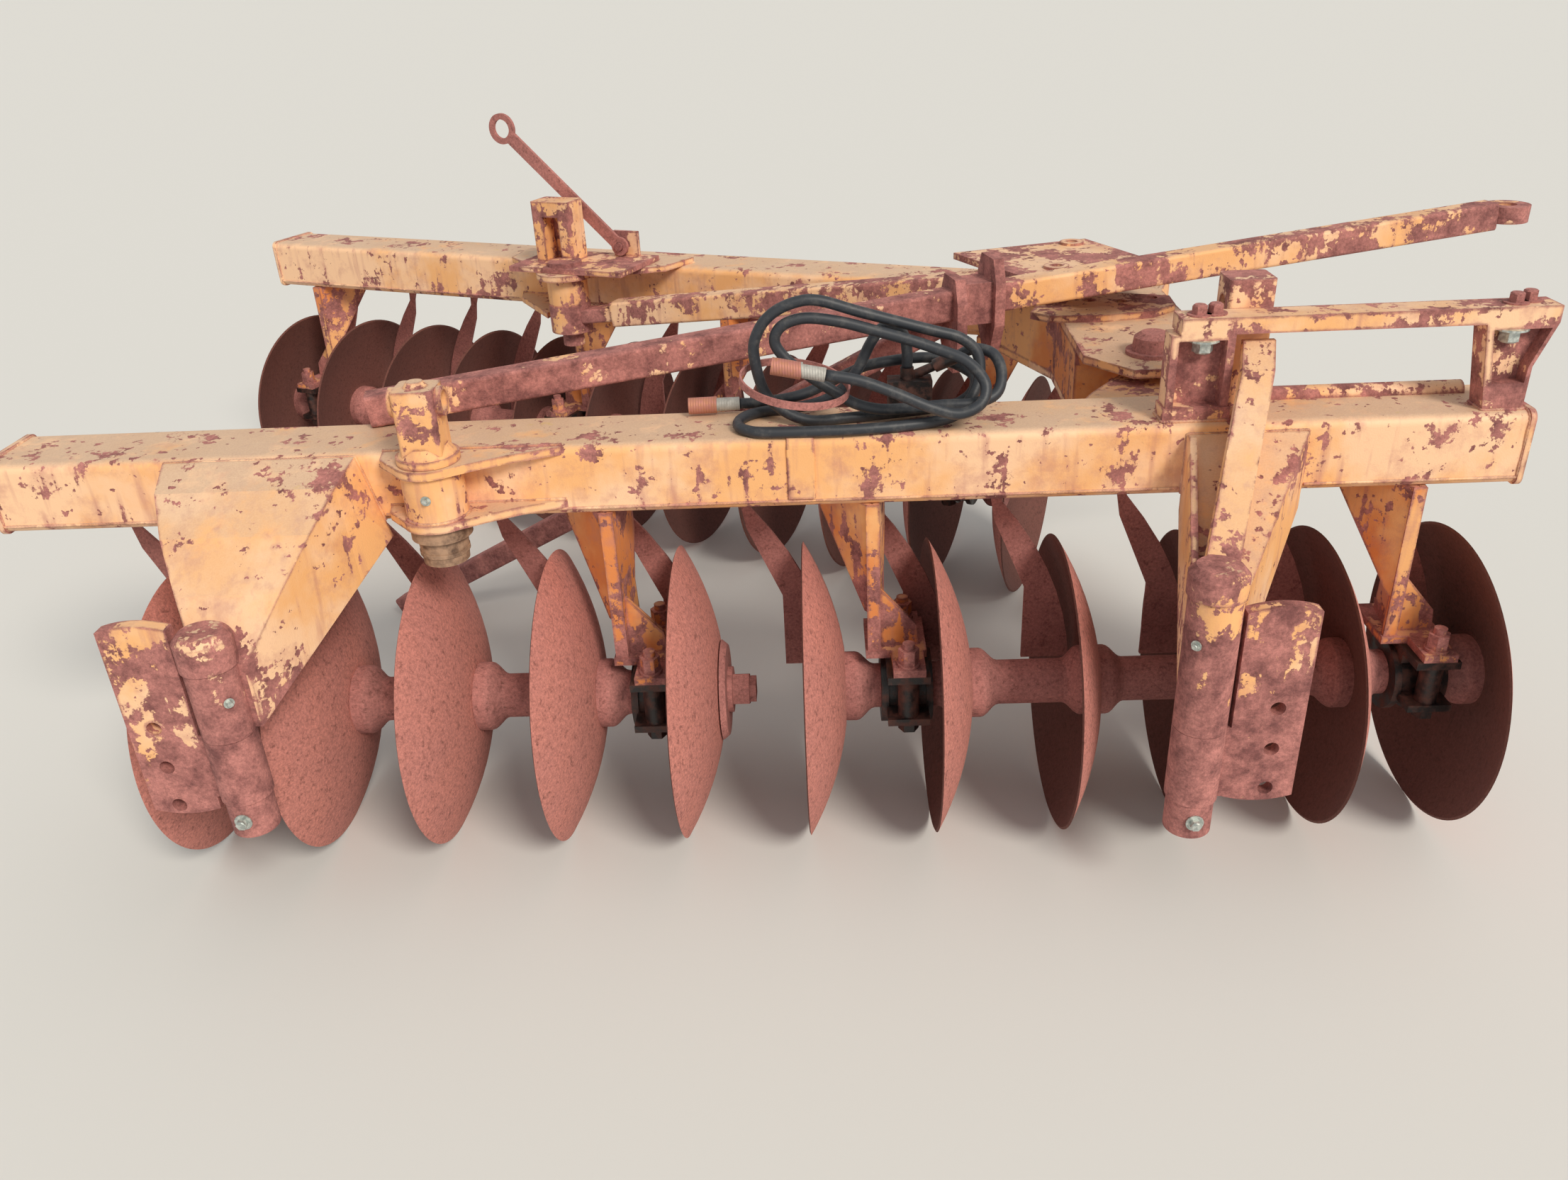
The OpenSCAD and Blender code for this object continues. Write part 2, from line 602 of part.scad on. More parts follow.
// Swivel post: a square block with a cross tube on a round base, and the pin below it
post_w = 76;
post_h = 126;
post_ring_d = 116;
post_ring_t = 14;
post_flare_h = 18;
post_tube_d = 54;
post_tube_l = 98;
post_bore_d = 40;
post_bore_z = 113;
swivel_gap = 1;
module swivel_post() {
    low = pivot_low + 8;
    ring_z = beam_top + swivel_gap;
    color(paint) placed() translate([front_pivot_x, front_y0 - pivot_out, 0]) difference() {
        union() {
            translate([0, 0, low]) cylinder(h = ring_z + 1 - low, d = pin_hole_d - 2, $fn = 48);
            translate([0, 0, ring_z]) cylinder(h = post_ring_t, d = post_ring_d, $fn = 64);
            translate([0, 0, ring_z + post_ring_t])
                cylinder(h = post_flare_h, d1 = post_ring_d - 10, d2 = post_w + 4, $fn = 64);
            translate([0, 0, ring_z + post_ring_t]) linear_extrude(post_h) round_rect(post_w, post_w, 8);
            translate([0, 0, beam_top + post_bore_z]) rotate([0, 90, 0])
                cylinder(h = post_tube_l, d = post_tube_d, center = true, $fn = 48);
            translate([0, 0, ring_z + post_ring_t + post_h]) cylinder(h = 10, d1 = 44, d2 = 30, $fn = 32);
        }
        translate([0, 0, beam_top + post_bore_z]) rotate([0, 90, 0])
            cylinder(h = post_tube_l + 2, d = post_bore_d, center = true, $fn = 48);
    }
}

// Apex: two lugs behind the front beam, the elbow's plates outside them, and the pin
lug_t = 20;
apex_play = 0.5;
elbow_plate_t = 18;
lug_r = 64;
module apex_lug_shape() {
    difference() {
        union() {
            translate([apex_x, apex_y]) circle(lug_r, $fn = 64);
            polygon([[apex_x - 190, front_y0 + beam_w], [apex_x - 150, front_y0 + beam_w + 70],
                [apex_x - lug_r + 4, apex_y - 12], [apex_x + lug_r - 4, apex_y - 12],
                [apex_x + 150, front_y0 + beam_w + 70], [apex_x + 190, front_y0 + beam_w]]);
        }
        translate([apex_x, apex_y]) circle(apex_pin_d / 2 + apex_play, $fn = 48);
    }
}
module apex_lugs() {
    color(paint_dark) placed() {
        translate([0, 0, beam_top - beam_r - lug_t]) linear_extrude(lug_t) apex_lug_shape();
        translate([0, 0, beam_z + beam_r]) linear_extrude(lug_t) apex_lug_shape();
    }
}
module apex_pin() {
    color(rust) placed() translate([apex_x, apex_y, 0]) {
        translate([0, 0, beam_z - 50]) cylinder(h = beam_h + 50 + elbow_plate_t, d = apex_pin_d, $fn = 48);
        translate([0, 0, beam_top + elbow_plate_t]) cylinder(h = 8, d = 108, $fn = 48);
        translate([0, 0, beam_top + elbow_plate_t + 8]) cylinder(h = 28, d1 = 84, d2 = 78, $fn = 48);
        translate([0, 0, beam_top + elbow_plate_t + 36]) cylinder(h = 10, d1 = 78, d2 = 50, $fn = 48);
    }
}
// Plan of the elbow's plates: from the round front over the pin back to the rear beam
elbow_left = 548;
elbow_right = 836;
elbow_bend_y = 728;
elbow_back = [[440, 1020], [840, 940]];
module elbow_plan(front) {
    polygon([[elbow_left, front], [elbow_left + 8, elbow_bend_y], elbow_back[0], elbow_back[1],
        [elbow_right, elbow_bend_y], [elbow_right, front]]);
}
module rear_beam_cut() {
    translate([rear_x0, rear_y0, 0]) rotate([0, 0, -v_angle]) {
        translate([0, -beam_w / 2]) square([beam_len + 200, beam_w + 400]);
        translate([beam_len - cap_t - 1, -beam_w / 2 - cap_out - 1]) square([200, beam_w]);
    }
}
module apex_plates() {
    color(paint) placed() for (z = [beam_top, beam_z - elbow_plate_t])
        translate([0, 0, z]) linear_extrude(elbow_plate_t) difference() {
            union() {
                difference() {
                    elbow_plan(apex_y);
                    rear_beam_cut();
                }
                polygon([[elbow_left, apex_y], [apex_x - 62, apex_y - 112], [apex_x + 62, apex_y - 112],
                    [elbow_right, apex_y]]);
            }
            translate([apex_x, apex_y]) circle(apex_pin_d / 2, $fn = 48);
        }
}
// Elbow: the wide box that joins the rear beam to the apex
module rear_elbow() {
    color(paint_dark) placed() translate([0, 0, beam_z]) linear_extrude(beam_h) difference() {
        elbow_plan(apex_y + lug_r + 16);
        rear_beam_cut();
    }
}

// Quadrant: two plates with a row of pin holes and a pivot hole
quad_t = 16;
quad_gap = 68;
quad_holes = [[562, 775], [635, 727], [705, 707], [781, 730]];
quad_pivot = [645, 1026];
quad_low = beam_top + elbow_plate_t;
quad_upper = [[339, 977], [408, 832], [462, 720], [549, 636], [640, 612], [740, 625], [814, 690], [820, 760],
    [689, 1078]];
quad_lower = [[483, 640], [520, 600], [640, 590], [760, 610], [820, 660], [826, 740], [560, 840]];
quad_hole_d = 28;
quad_ring_d = 60;
quad_ring_t = 6;
module quadrant() {
    color(paint) placed() {
        translate([0, 0, quad_low + quad_gap]) linear_extrude(quad_t) difference() {
            polygon(quad_upper);
            for (p = concat(quad_holes, [quad_pivot])) translate(p) circle(d = quad_hole_d, $fn = 32);
        }
        for (p = concat(quad_holes, [quad_pivot])) translate([p[0], p[1], quad_low + quad_gap + quad_t])
            linear_extrude(quad_ring_t) difference() {
                circle(d = quad_ring_d, $fn = 32);
                circle(d = quad_hole_d, $fn = 32);
            }
        translate([0, 0, quad_low]) linear_extrude(quad_t) difference() {
            polygon(quad_lower);
            for (p = quad_holes) translate(p) circle(d = quad_hole_d, $fn = 32);
        }
        translate([quad_pivot[0], quad_pivot[1], beam_top]) difference() {
            cylinder(h = quad_low + quad_gap - beam_top, d = 64, $fn = 48);
            translate([0, 0, -1]) cylinder(h = 2 * quad_gap, d = quad_hole_d, $fn = 32);
        }
    }
}

// Box arm: from an eye under the rear pivot up to the quadrant's upper plate
arm_w_box = 66;
arm_h_box = 70;
arm_end = [470, 820];
function rear_point(x, y) = [rear_x0 + x * cos(v_angle) + y * sin(v_angle),
    rear_y0 - x * sin(v_angle) + y * cos(v_angle)];
arm_eye = rear_point(rear_pivot_x, -beam_w / 2 - rear_pivot_out);
arm_eye_z = beam_top - rear_boss_h;
arm_tongue_h = 40;
arm_start = [arm_eye[0], arm_eye[1], arm_eye_z - 40];
arm_finish = [arm_end[0], arm_end[1], quad_low + quad_gap - arm_h_box / 2 + 4];
module box_arm() {
    color(paint) placed() difference() {
        union() {
            bar_between(arm_start, arm_start + (arm_finish - arm_start) * 0.2, arm_w_box - 8, arm_tongue_h, 6);
            bar_between(arm_start + (arm_finish - arm_start) * 0.12, arm_finish, arm_w_box, arm_h_box, 8);
            translate([arm_eye[0], arm_eye[1], arm_eye_z - 80]) cylinder(h = 80, d = 120, $fn = 64);
            translate([arm_eye[0], arm_eye[1], arm_eye_z - 122]) cylinder(h = 44, d = 62, $fn = 48);
        }
        translate([arm_eye[0] - boss_d, arm_eye[1] - boss_d, arm_eye_z])
            cube([2 * boss_d, 2 * boss_d, arm_h_box]);
        translate([arm_end[0] - 200, arm_end[1] - 200, quad_low + quad_gap]) cube([400, 400, arm_h_box]);
    }
}

// Swivel head on the rear pivot: base plate, slotted tube and the lug of the latch
head_base = [370, 220];
head_base_at = [-158, -50];
head_tube = [-53, 72];
head_tube_h = 166;
latch_at = [110, 137];
latch_z = beam_top + 61;
module head_place() {
    rear_frame() translate([rear_pivot_x, -beam_w / 2 - rear_pivot_out, 0]) children();
}
module swivel_head() {
    base = beam_top + pivot_plate_t + 1;
    color(paint) head_place() {
        translate([0, 0, arm_eye_z + 1]) cylinder(h = base - arm_eye_z - 1, d = pin_hole_d - 2, $fn = 48);
        translate([head_base_at[0], head_base_at[1], base]) cube([head_base[0], head_base[1], 14]);
        translate([0, 0, base + 14]) cylinder(h = 12, d = 96, $fn = 48);
        difference() {
            translate([head_tube[0], head_tube[1], base + 14]) linear_extrude(head_tube_h)
                round_rect(124, 84, 8);
            translate([head_tube[0] - 26, head_tube[1] - 60, base + 14]) cube([52, 76, 124]);
        }
        translate([latch_at[0] - 30, latch_at[1] + 8, base + 14]) cube([80, 12, 70]);
        translate([latch_at[0], latch_at[1] + 9, latch_z]) rotate([90, 0, 0])
            cylinder(h = 30, d = 24, $fn = 32);
    }
}
// Latch lever: a flat bar with a ring at its end
lever_ring = [-354, 318];
module latch_lever() {
    run = norm(lever_ring);
    color(paint_dark) head_place() translate([latch_at[0], latch_at[1] - 3, latch_z]) rotate([90, 0, 0])
        linear_extrude(10) difference() {
            union() {
                circle(26, $fn = 48);
                rotate([0, 0, atan2(lever_ring[1], lever_ring[0])]) translate([0, -18])
                    square([run - 30, 36]);
                translate(lever_ring) circle(42, $fn = 48);
            }
            circle(13, $fn = 32);
            translate(lever_ring) circle(26, $fn = 32);
        }
}

// Half-round rail along the beam's back edge
rail_x = [842, 1214];
rail_r = 20;
module hose_rail() {
    l = rail_x[1] - rail_x[0];
    color(paint_dark) placed() translate([rail_x[0], front_y0 + beam_w - 2 * rail_r - 2, beam_top])
        rotate([0, 90, 0]) intersection() {
            cylinder(h = l, r = rail_r, $fn = 32);
            translate([-rail_r, -rail_r, 0]) cube([rail_r, 2 * rail_r, l]);
        }
}

// Stowed drawbar: the eye bar, the clamp plates and the two legs of its frame. One leg lies on the front
// beam and the other stands on the ground between the beams.
eye_at = [1545, 690, 1078];
clamp_at = [333, 420, 1000];
leg_end = [-902, 122, beam_top + 32.4];
brace_end = [-1240, 958, 25];
eye_t = 36;
module tongue_bar() {
    color(paint) placed() difference() {
        union() {
            bar_between(clamp_at, eye_at - [40, 9, 3], 56, bar_w - 10, 8);
            translate(eye_at - [0, 0, eye_t / 2]) cylinder(h = eye_t, d = 96, $fn = 64);
        }
        translate(eye_at - [0, 0, 60]) cylinder(h = 120, d = eye_bore_d, $fn = 48);
        tongue_inner();
    }
}
// The space that the clamp takes up
module tongue_inner() {
    translate(clamp_at) rotate([0, 0, 12.7]) translate([-64, -90, -170]) cube([104, 180, 300]);
}
module clamp_plate(low, high) {
    rotate([90, 0, 90]) linear_extrude(22) polygon([[-30, low], [20, low], [56, low + 50], [56, high - 40],
        [36, high], [-36, high], [-56, high - 50], [-56, low + 60]]);
}
module tongue_clamp() {
    color(paint_dark) placed() translate(clamp_at) rotate([0, 0, 12.7]) {
        translate([18, 0, 0]) clamp_plate(-108, 88);
        translate([-64, 0, 0]) clamp_plate(-148, 52);
        translate([-42, -40, -44]) cube([60, 80, 86]);
    }
}
module tongue_legs() {
    color(paint) placed() difference() {
        union() {
            bar_between(clamp_at, leg_end, 56, 64, 8);
            bar_between(clamp_at - [20, 0, 20], brace_end, 56, 56, 8);
        }
        tongue_inner();
    }
}

// Manifold block that both hoses leave, near the beam's back edge, with a ferrule on each port
block_at = [165, 96];
block_size = [84, 46, 64];
ferrule_d = 26;
coupling_d = 32;
side_reach = 100;
module rod(a, b, d) {
    run = b - a;
    translate(a) rotate([0, atan2(norm([run[0], run[1]]), run[2]), atan2(run[1], run[0])])
        cylinder(h = norm(run), d = d, $fn = 32);
}
module hose_block() {
    up_port = hose_one_route[0];
    side_end = hose_two_route[0];
    along = unit(hose_two_route[1] - side_end);
    color(iron) placed() {
        translate([block_at[0] - block_size[0] / 2, block_at[1] - block_size[1] / 2, beam_top])
            cube(block_size);
        rod([up_port[0], up_port[1], beam_top + block_size[2]], up_port, ferrule_d);
        rod(side_end - along * side_reach, side_end - along * ferrule_l, ferrule_d - 8);
        rod(side_end - along * ferrule_l, side_end - along * end_play, ferrule_d);
    }
}

// Loose flat steel ring that lies round the loops
ring_at = [-54, 20, 959];
ring_tilt = [5, 9, 0];
ring_r = 104;
ring_w = 14;
ring_t = 4;
module hose_ring() {
    color(rust) placed() translate(ring_at) rotate(ring_tilt) translate([0, 0, -ring_w / 2]) difference() {
        cylinder(h = ring_w, r = ring_r, $fn = 64);
        translate([0, 0, -1]) cylinder(h = ring_w + 2, r = ring_r - ring_t, $fn = 64);
    }
}

// Hydraulic hoses, lying in loops along the front beam
hose_d = 21;
hose_one_route = [[160, 96, 958], [160, 96, 988], [155, 95, 1018], [138, 92, 1040], [112, 88, 1038],
    [90, 85, 1010], [64, 82, 960], [28, 84, 918], [-26, 90, 892], [-122, 84, 883],
    [-156, 54, 883], [-164, 14, 883], [-144, -18, 883], [-96, -32, 883], [80, -31, 883],
    [222, -4, 886], [268, 22, 908], [291, 44, 948], [288, 56, 992], [256, 58, 1022],
    [200, 56, 1040], [72, 50, 1080], [-4, 47, 1105], [-48, 45, 1104], [-90, 43, 1086],
    [-118, 42, 1054], [-128, 42, 1008], [-106, 44, 926], [-40, 30, 884], [50, 34, 883],
    [220, 50, 892], [268, 64, 902], [290, 92, 920], [280, 122, 938], [210, 138, 962],
    [100, 132, 956], [44, 128, 938], [-44, 116, 904], [-130, 112, 893], [-165, 110, 893]];
hose_two_route = [[252, 92, 976], [286, 86, 992], [320, 66, 986], [332, 40, 958], [320, 12, 928],
    [278, -4, 916], [220, -2, 914], [160, 4, 908], [104, 10, 906], [58, 18, 916], [16, 26, 940],
    [-28, 30, 970], [-66, 32, 1000], [-88, 34, 1034], [-74, 34, 1064], [-30, 38, 1076], [36, 38, 1066],
    [100, 34, 1048], [156, 28, 1032], [210, 20, 1014], [262, 4, 994], [294, -20, 960], [286, -40, 928],
    [244, -48, 912], [190, -44, 926], [130, -38, 952], [66, -32, 976], [4, -28, 988]];
hose_sides = 10;
function unit(v) = v / norm(v);
function heading(route, i) = unit(route[min(len(route) - 1, i + 1)] - route[max(0, i - 1)]);
// Sideways directions along a route, each the last one carried on without twist
function carried(route, i, last) = i == len(route) ? [] :
    let (u = heading(route, i), side = unit(last - (last * u) * u))
        concat([side], carried(route, i + 1, side));
module hose(route) {
    n = len(route);
    sides = carried(route, 0, [0, 1, 0]);
    rings = [for (i = [0:n - 1], k = [0:hose_sides - 1]) let (a = 360 * k / hose_sides)
        route[i] + (sides[i] * cos(a) + cross(heading(route, i), sides[i]) * sin(a)) * hose_d / 2];
    faces = concat(
        [[for (k = [hose_sides - 1:-1:0]) k]],
        [for (i = [0:n - 2], k = [0:hose_sides - 1]) let (next = (k + 1) % hose_sides)
            [i * hose_sides + k, i * hose_sides + next, (i + 1) * hose_sides + next,
                (i + 1) * hose_sides + k]],
        [[for (k = [0:hose_sides - 1]) (n - 1) * hose_sides + k]]);
    polyhedron(rings, faces, convexity = 6);
}
module hose_one() { color(rubber) placed() hose(hose_one_route); }
module hose_two() { color(rubber) placed() hose(hose_two_route); }
// Ferrule and coupling on a hose's free end
coupling_l = 56;
ferrule_l = 44;
end_play = 0.2;
module hose_end(route) {
    last = len(route) - 1;
    along = unit(route[last] - route[last - 1]);
    start = route[last] + along * end_play;
    rod(start, start + along * ferrule_l, ferrule_d);
    difference() {
        rod(start + along * ferrule_l, start + along * (ferrule_l + coupling_l), coupling_d);
        rod(start + along * (ferrule_l + coupling_l - 18), start + along * (ferrule_l + coupling_l + 2),
            coupling_d - 12);
    }
}
module coupling_one() { color(rust) placed() hose_end(hose_one_route); }
module coupling_two() { color(rust) placed() hose_end(hose_two_route); }

front_beam();
front_hangers();
front_bearings();
front_scrapers();
left_bracket();
right_bracket();
mast();
top_bar();
front_pivot();
pivot_boot();
apex_lugs();
hose_rail();
tongue_bar();
tongue_clamp();
tongue_legs();
left_leaf();
right_leaf();
swivel_post();
front_left_discs();
front_left_axle();
front_right_discs();
front_right_axle();
rear_left_discs();
rear_left_axle();
rear_right_discs();
rear_right_axle();
rear_beam();
rear_elbow();
apex_plates();
apex_pin();
quadrant();
box_arm();
rear_pivot();
rear_hangers();
rear_bearings();
rear_scrapers();
swivel_head();
latch_lever();
hose_block();
hose_ring();
hose_one();
hose_two();
coupling_one();
coupling_two();
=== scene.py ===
"""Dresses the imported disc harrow.

It gives the CAD pieces their paint and rust, lays the hoses, fits bolts, weld beads and a joint strap, and sets a
plain stage with the photo's view.
"""

import math

import bmesh
import bpy
from bpy.props import FloatProperty, FloatVectorProperty, IntProperty, PointerProperty
from mathutils import Matrix, Vector


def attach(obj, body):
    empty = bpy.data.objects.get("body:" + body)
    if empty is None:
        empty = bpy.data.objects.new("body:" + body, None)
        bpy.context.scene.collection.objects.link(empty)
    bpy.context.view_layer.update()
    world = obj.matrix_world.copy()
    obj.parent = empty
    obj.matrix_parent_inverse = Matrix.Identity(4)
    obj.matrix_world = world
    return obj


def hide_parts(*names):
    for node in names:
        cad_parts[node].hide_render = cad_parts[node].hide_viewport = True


bl_info = {
    "name": "Disc harrow dresser",
    "version": (1, 0, 0),
    "blender": (4, 5, 0),
    "location": "View3D > Sidebar > Harrow",
    "description": "Paints, rusts and fits out the packed disc harrow",
    "category": "Object",
}

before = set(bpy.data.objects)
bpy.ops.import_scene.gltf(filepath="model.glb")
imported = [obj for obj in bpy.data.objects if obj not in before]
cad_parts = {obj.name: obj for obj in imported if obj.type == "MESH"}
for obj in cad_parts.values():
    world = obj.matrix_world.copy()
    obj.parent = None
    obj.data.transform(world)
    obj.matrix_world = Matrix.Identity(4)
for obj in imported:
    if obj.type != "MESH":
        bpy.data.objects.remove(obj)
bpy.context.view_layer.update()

MM = 0.001
# The CAD source's layout frame, in millimetres, is moved by this much to centre the machine
LAYOUT_SHIFT = Vector((174.3, -936.05, 0))
BEAM_TOP = 872
V_ANGLE = math.radians(22.5)
REAR_START = Vector((-1805, 2070, 0))


def at(x, y, z):
    """A point of the CAD's layout, in millimetres, as a place in the scene."""
    return (Vector((x, y, z)) + LAYOUT_SHIFT) * MM


def rear(x, y, z):
    """A point measured along the rear beam, in millimetres, as a place in the scene."""
    return at(*(REAR_START + Matrix.Rotation(-V_ANGLE, 3, "Z") @ Vector((x, y, z))))


def linear(code):
    """An sRGB hex colour as linear red, green and blue."""
    parts = [int(code[i : i + 2], 16) / 255 for i in (1, 3, 5)]
    return [c / 12.92 if c <= 0.04045 else ((c + 0.055) / 1.055) ** 2.4 for c in parts]


def rgba(code):
    return (*linear(code), 1.0)


def add(tree, kind, inputs=None, **settings):
    """Adds one node, sets its options, and feeds each input a value or another node's socket."""
    made = tree.nodes.new(kind)
    for key, value in settings.items():
        setattr(made, key, value)
    for key, value in (inputs or {}).items():
        if isinstance(value, bpy.types.NodeSocket):
            tree.links.new(value, made.inputs[key])
        else:
            made.inputs[key].default_value = value
    return made


# Settings


def colour_setting(name, description, code):
    return FloatVectorProperty(
        name=name, description=description, subtype="COLOR", size=3, min=0, max=1, default=linear(code)
    )


class HarrowFinish(bpy.types.PropertyGroup):
    """Colours and sizes of the finishes."""

    paint: colour_setting("Paint", "Faded top coat in the sun", "#F8CBA3")
    paint_deep: colour_setting("Deep paint", "Paint that the sun hasn't reached", "#E08A4C")
    paint_yellow: colour_setting("Yellowed paint", "Patches where the coat has yellowed", "#F2B579")
    rust: colour_setting("Rust", "Rust where the paint has gone", "#BA7B74")
    rust_dark: colour_setting("Dark rust", "Old rust and soil in corners", "#7C4C4A")
    disc_rust: colour_setting("Disc rust", "Even rust on the discs", "#C98276")
    hose: colour_setting("Hose", "Weathered black rubber", "#2B2F36")
    chip_size: FloatProperty(
        name="Chip size", description="Width of a usual paint chip", default=0.11, unit="LENGTH"
    )
    bead: FloatProperty(
        name="Weld bead", description="Width of a weld bead", default=0.007, unit="LENGTH"
    )
    bolt: FloatProperty(
        name="Bolt", description="Width of a bolt head across its flats", default=0.03, unit="LENGTH"
    )
    hose_sides: IntProperty(name="Hose sides", description="Sides of a hose's section", default=16, min=8)


# Materials


def new_material(name):
    made = bpy.data.materials.new(name)
    made.use_nodes = True
    tree = made.node_tree
    tree.nodes.clear()
    return made, tree


# The two hinge barrels' axes in plan, in the layout's millimetres, and how far from them the coat has gone
BARRELS = ((-1082, -372), (640, -372))
BARREL_REACH = 0.056
# What lifts the wear above the noise: the hinges, edges, flecks, run-down stains and the height where soil splashes
HINGE_WEAR = 0.16
EDGE_WEAR = 0.16
FLECK_WEAR = 0.14
STREAK_WEAR = 0.12
SPLASH_WEAR = 0.15
SPLASH_FROM, SPLASH_FULL = 0.62, 0.3
EDGE_WIDTH = 0.012
# The coat is gone above this level of noise and wear, and the step to bare rust is this sharp
COAT_GONE = 0.66
COAT_STEP = 0.015


def barrel_mask(tree, place):
    """1 within a hinge barrel's radius of its axis, and 0 further out."""
    flat = add(tree, "ShaderNodeVectorMath", {0: place, 1: (1, 1, 0)}, operation="MULTIPLY")
    found = 0.0
    for x, y in BARRELS:
        axis = tuple(at(x, y, 0))
        away = add(tree, "ShaderNodeVectorMath", {0: flat.outputs[0], 1: axis}, operation="DISTANCE")
        near = add(tree, "ShaderNodeMath", {0: away.outputs["Value"], 1: BARREL_REACH}, operation="LESS_THAN")
        found = add(tree, "ShaderNodeMath", {0: near.outputs[0], 1: found}, operation="ADD").outputs[0]
    return found


def painted_steel(name, coat, second, rust, dark, chip, worn, dusty):
    """Brushed enamel on welded steel, left outdoors for years.

    The eye sees a coat that has faded and yellowed in clouds and chipped to brown rust, most along edges, on the
    hinges and low down, with dust and lichen on what faces up. chip is a patch's size in metres, worn moves the
    level from which the coat is gone, and dusty is how much lies on top.
    """
    made, tree = new_material(name)
    spot = add(tree, "ShaderNodeTexCoord").outputs
    place = spot["Object"]
    upward = add(tree, "ShaderNodeSeparateXYZ", {0: spot["Normal"]}).outputs["Z"]
    height = add(tree, "ShaderNodeSeparateXYZ", {0: place}).outputs["Z"]
    # Clouds of fading about 300 mm wide
    cloud = add(tree, "ShaderNodeTexNoise", {"Vector": place, "Scale": 3.4, "Detail": 5.0, "Roughness": 0.6})
    fade = add(
        tree, "ShaderNodeMapRange", {0: cloud.outputs["Fac"], 1: 0.42, 2: 0.6}, interpolation_type="SMOOTHSTEP"
    )
    coat_mix = add(tree, "ShaderNodeMix", {0: fade.outputs[0], 6: (*coat, 1), 7: (*second, 1)}, data_type="RGBA")
    # Where the coat is thin, rust shows through in blotches about 60 mm wide
    blotch = add(tree, "ShaderNodeTexNoise", {"Vector": place, "Scale": 16.0, "Detail": 8.0, "Roughness": 0.7})
    thin = add(tree, "ShaderNodeMapRange", {0: blotch.outputs["Fac"], 1: 0.5, 2: 0.66, 4: 0.42})
    thinned = add(
        tree, "ShaderNodeMix", {0: thin.outputs[0], 6: coat_mix.outputs[2], 7: (*rust, 1)}, data_type="RGBA"
    )
    # Streaks that run down, about 20 mm wide and 160 mm long
    runs = add(tree, "ShaderNodeMapping", {"Vector": place, "Scale": (48, 48, 6)})
    streak = add(tree, "ShaderNodeTexNoise", {"Vector": runs.outputs[0], "Scale": 1.0, "Detail": 3.0})
    stain = add(tree, "ShaderNodeMapRange", {0: streak.outputs["Fac"], 1: 0.54, 2: 0.74, 4: 0.55})
    dripped = add(tree, "ShaderNodeMapRange", {0: streak.outputs["Fac"], 1: 0.5, 2: 0.8, 4: STREAK_WEAR})
    stained = add(
        tree, "ShaderNodeMix", {0: stain.outputs[0], 6: thinned.outputs[2], 7: (*rust, 1)}, data_type="RGBA"
    )
    # Dust and lichen on top faces, grains of 3 mm within patches of 80 mm
    grain = add(tree, "ShaderNodeTexNoise", {"Vector": place, "Scale": 330.0, "Detail": 2.0})
    patch = add(tree, "ShaderNodeTexNoise", {"Vector": place, "Scale": 12.0, "Detail": 7.0, "Roughness": 0.65})
    lying = add(tree, "ShaderNodeMapRange", {0: upward, 1: 0.55, 2: 0.95, 4: dusty})
    spread = add(tree, "ShaderNodeMapRange", {0: patch.outputs["Fac"], 1: 0.26, 2: 0.48})
    cover = add(tree, "ShaderNodeMath", {0: lying.outputs[0], 1: spread.outputs[0]}, operation="MULTIPLY")
    dust_tone = add(
        tree, "ShaderNodeMix", {0: grain.outputs["Fac"], 6: rgba("#BC9A82"), 7: rgba("#E2C4A6")}, data_type="RGBA"
    )
    lichen = add(tree, "ShaderNodeMapRange", {0: patch.outputs["Fac"], 1: 0.66, 2: 0.74, 4: 0.6})
    crusted = add(
        tree, "ShaderNodeMix", {0: lichen.outputs[0], 6: dust_tone.outputs[2], 7: rgba("#C9B04E")}, data_type="RGBA"
    )
    dusted = add(
        tree, "ShaderNodeMix", {0: cover.outputs[0], 6: stained.outputs[2], 7: crusted.outputs[2]}, data_type="RGBA"
    )
    # Rust: large patches, small chips, and a worn line along every edge; more on the hinges and low down
    ragged = add(tree, "ShaderNodeTexNoise", {"Vector": place, "Scale": 1 / chip, "Detail": 9.0, "Roughness": 0.68})
    fine = add(tree, "ShaderNodeTexNoise", {"Vector": place, "Scale": 5 / chip, "Detail": 4.0, "Roughness": 0.6})
    rounded = add(tree, "ShaderNodeBevel", {"Radius": EDGE_WIDTH}, samples=6)
    facing = add(tree, "ShaderNodeNewGeometry").outputs["Normal"]
    turn = add(tree, "ShaderNodeVectorMath", {0: rounded.outputs[0], 1: facing}, operation="DOT_PRODUCT")
    edge = add(tree, "ShaderNodeMapRange", {0: turn.outputs["Value"], 1: 0.995, 2: 0.8, 4: EDGE_WEAR})
    flecks = add(tree, "ShaderNodeMapRange", {0: fine.outputs["Fac"], 1: 0.56, 2: 0.7, 4: FLECK_WEAR})
    low_down = add(tree, "ShaderNodeMapRange", {0: height, 1: SPLASH_FROM, 2: SPLASH_FULL, 4: SPLASH_WEAR})
    hinge = add(tree, "ShaderNodeMath", {0: barrel_mask(tree, place), 1: HINGE_WEAR}, operation="MULTIPLY")
    eaten = ragged.outputs["Fac"]
    for more in (edge, flecks, low_down, hinge, dripped):
        eaten = add(tree, "ShaderNodeMath", {0: eaten, 1: more.outputs[0]}, operation="ADD").outputs[0]
    gone_from = COAT_GONE - worn
    bare = add(tree, "ShaderNodeMapRange", {0: eaten, 1: gone_from, 2: gone_from + COAT_STEP})
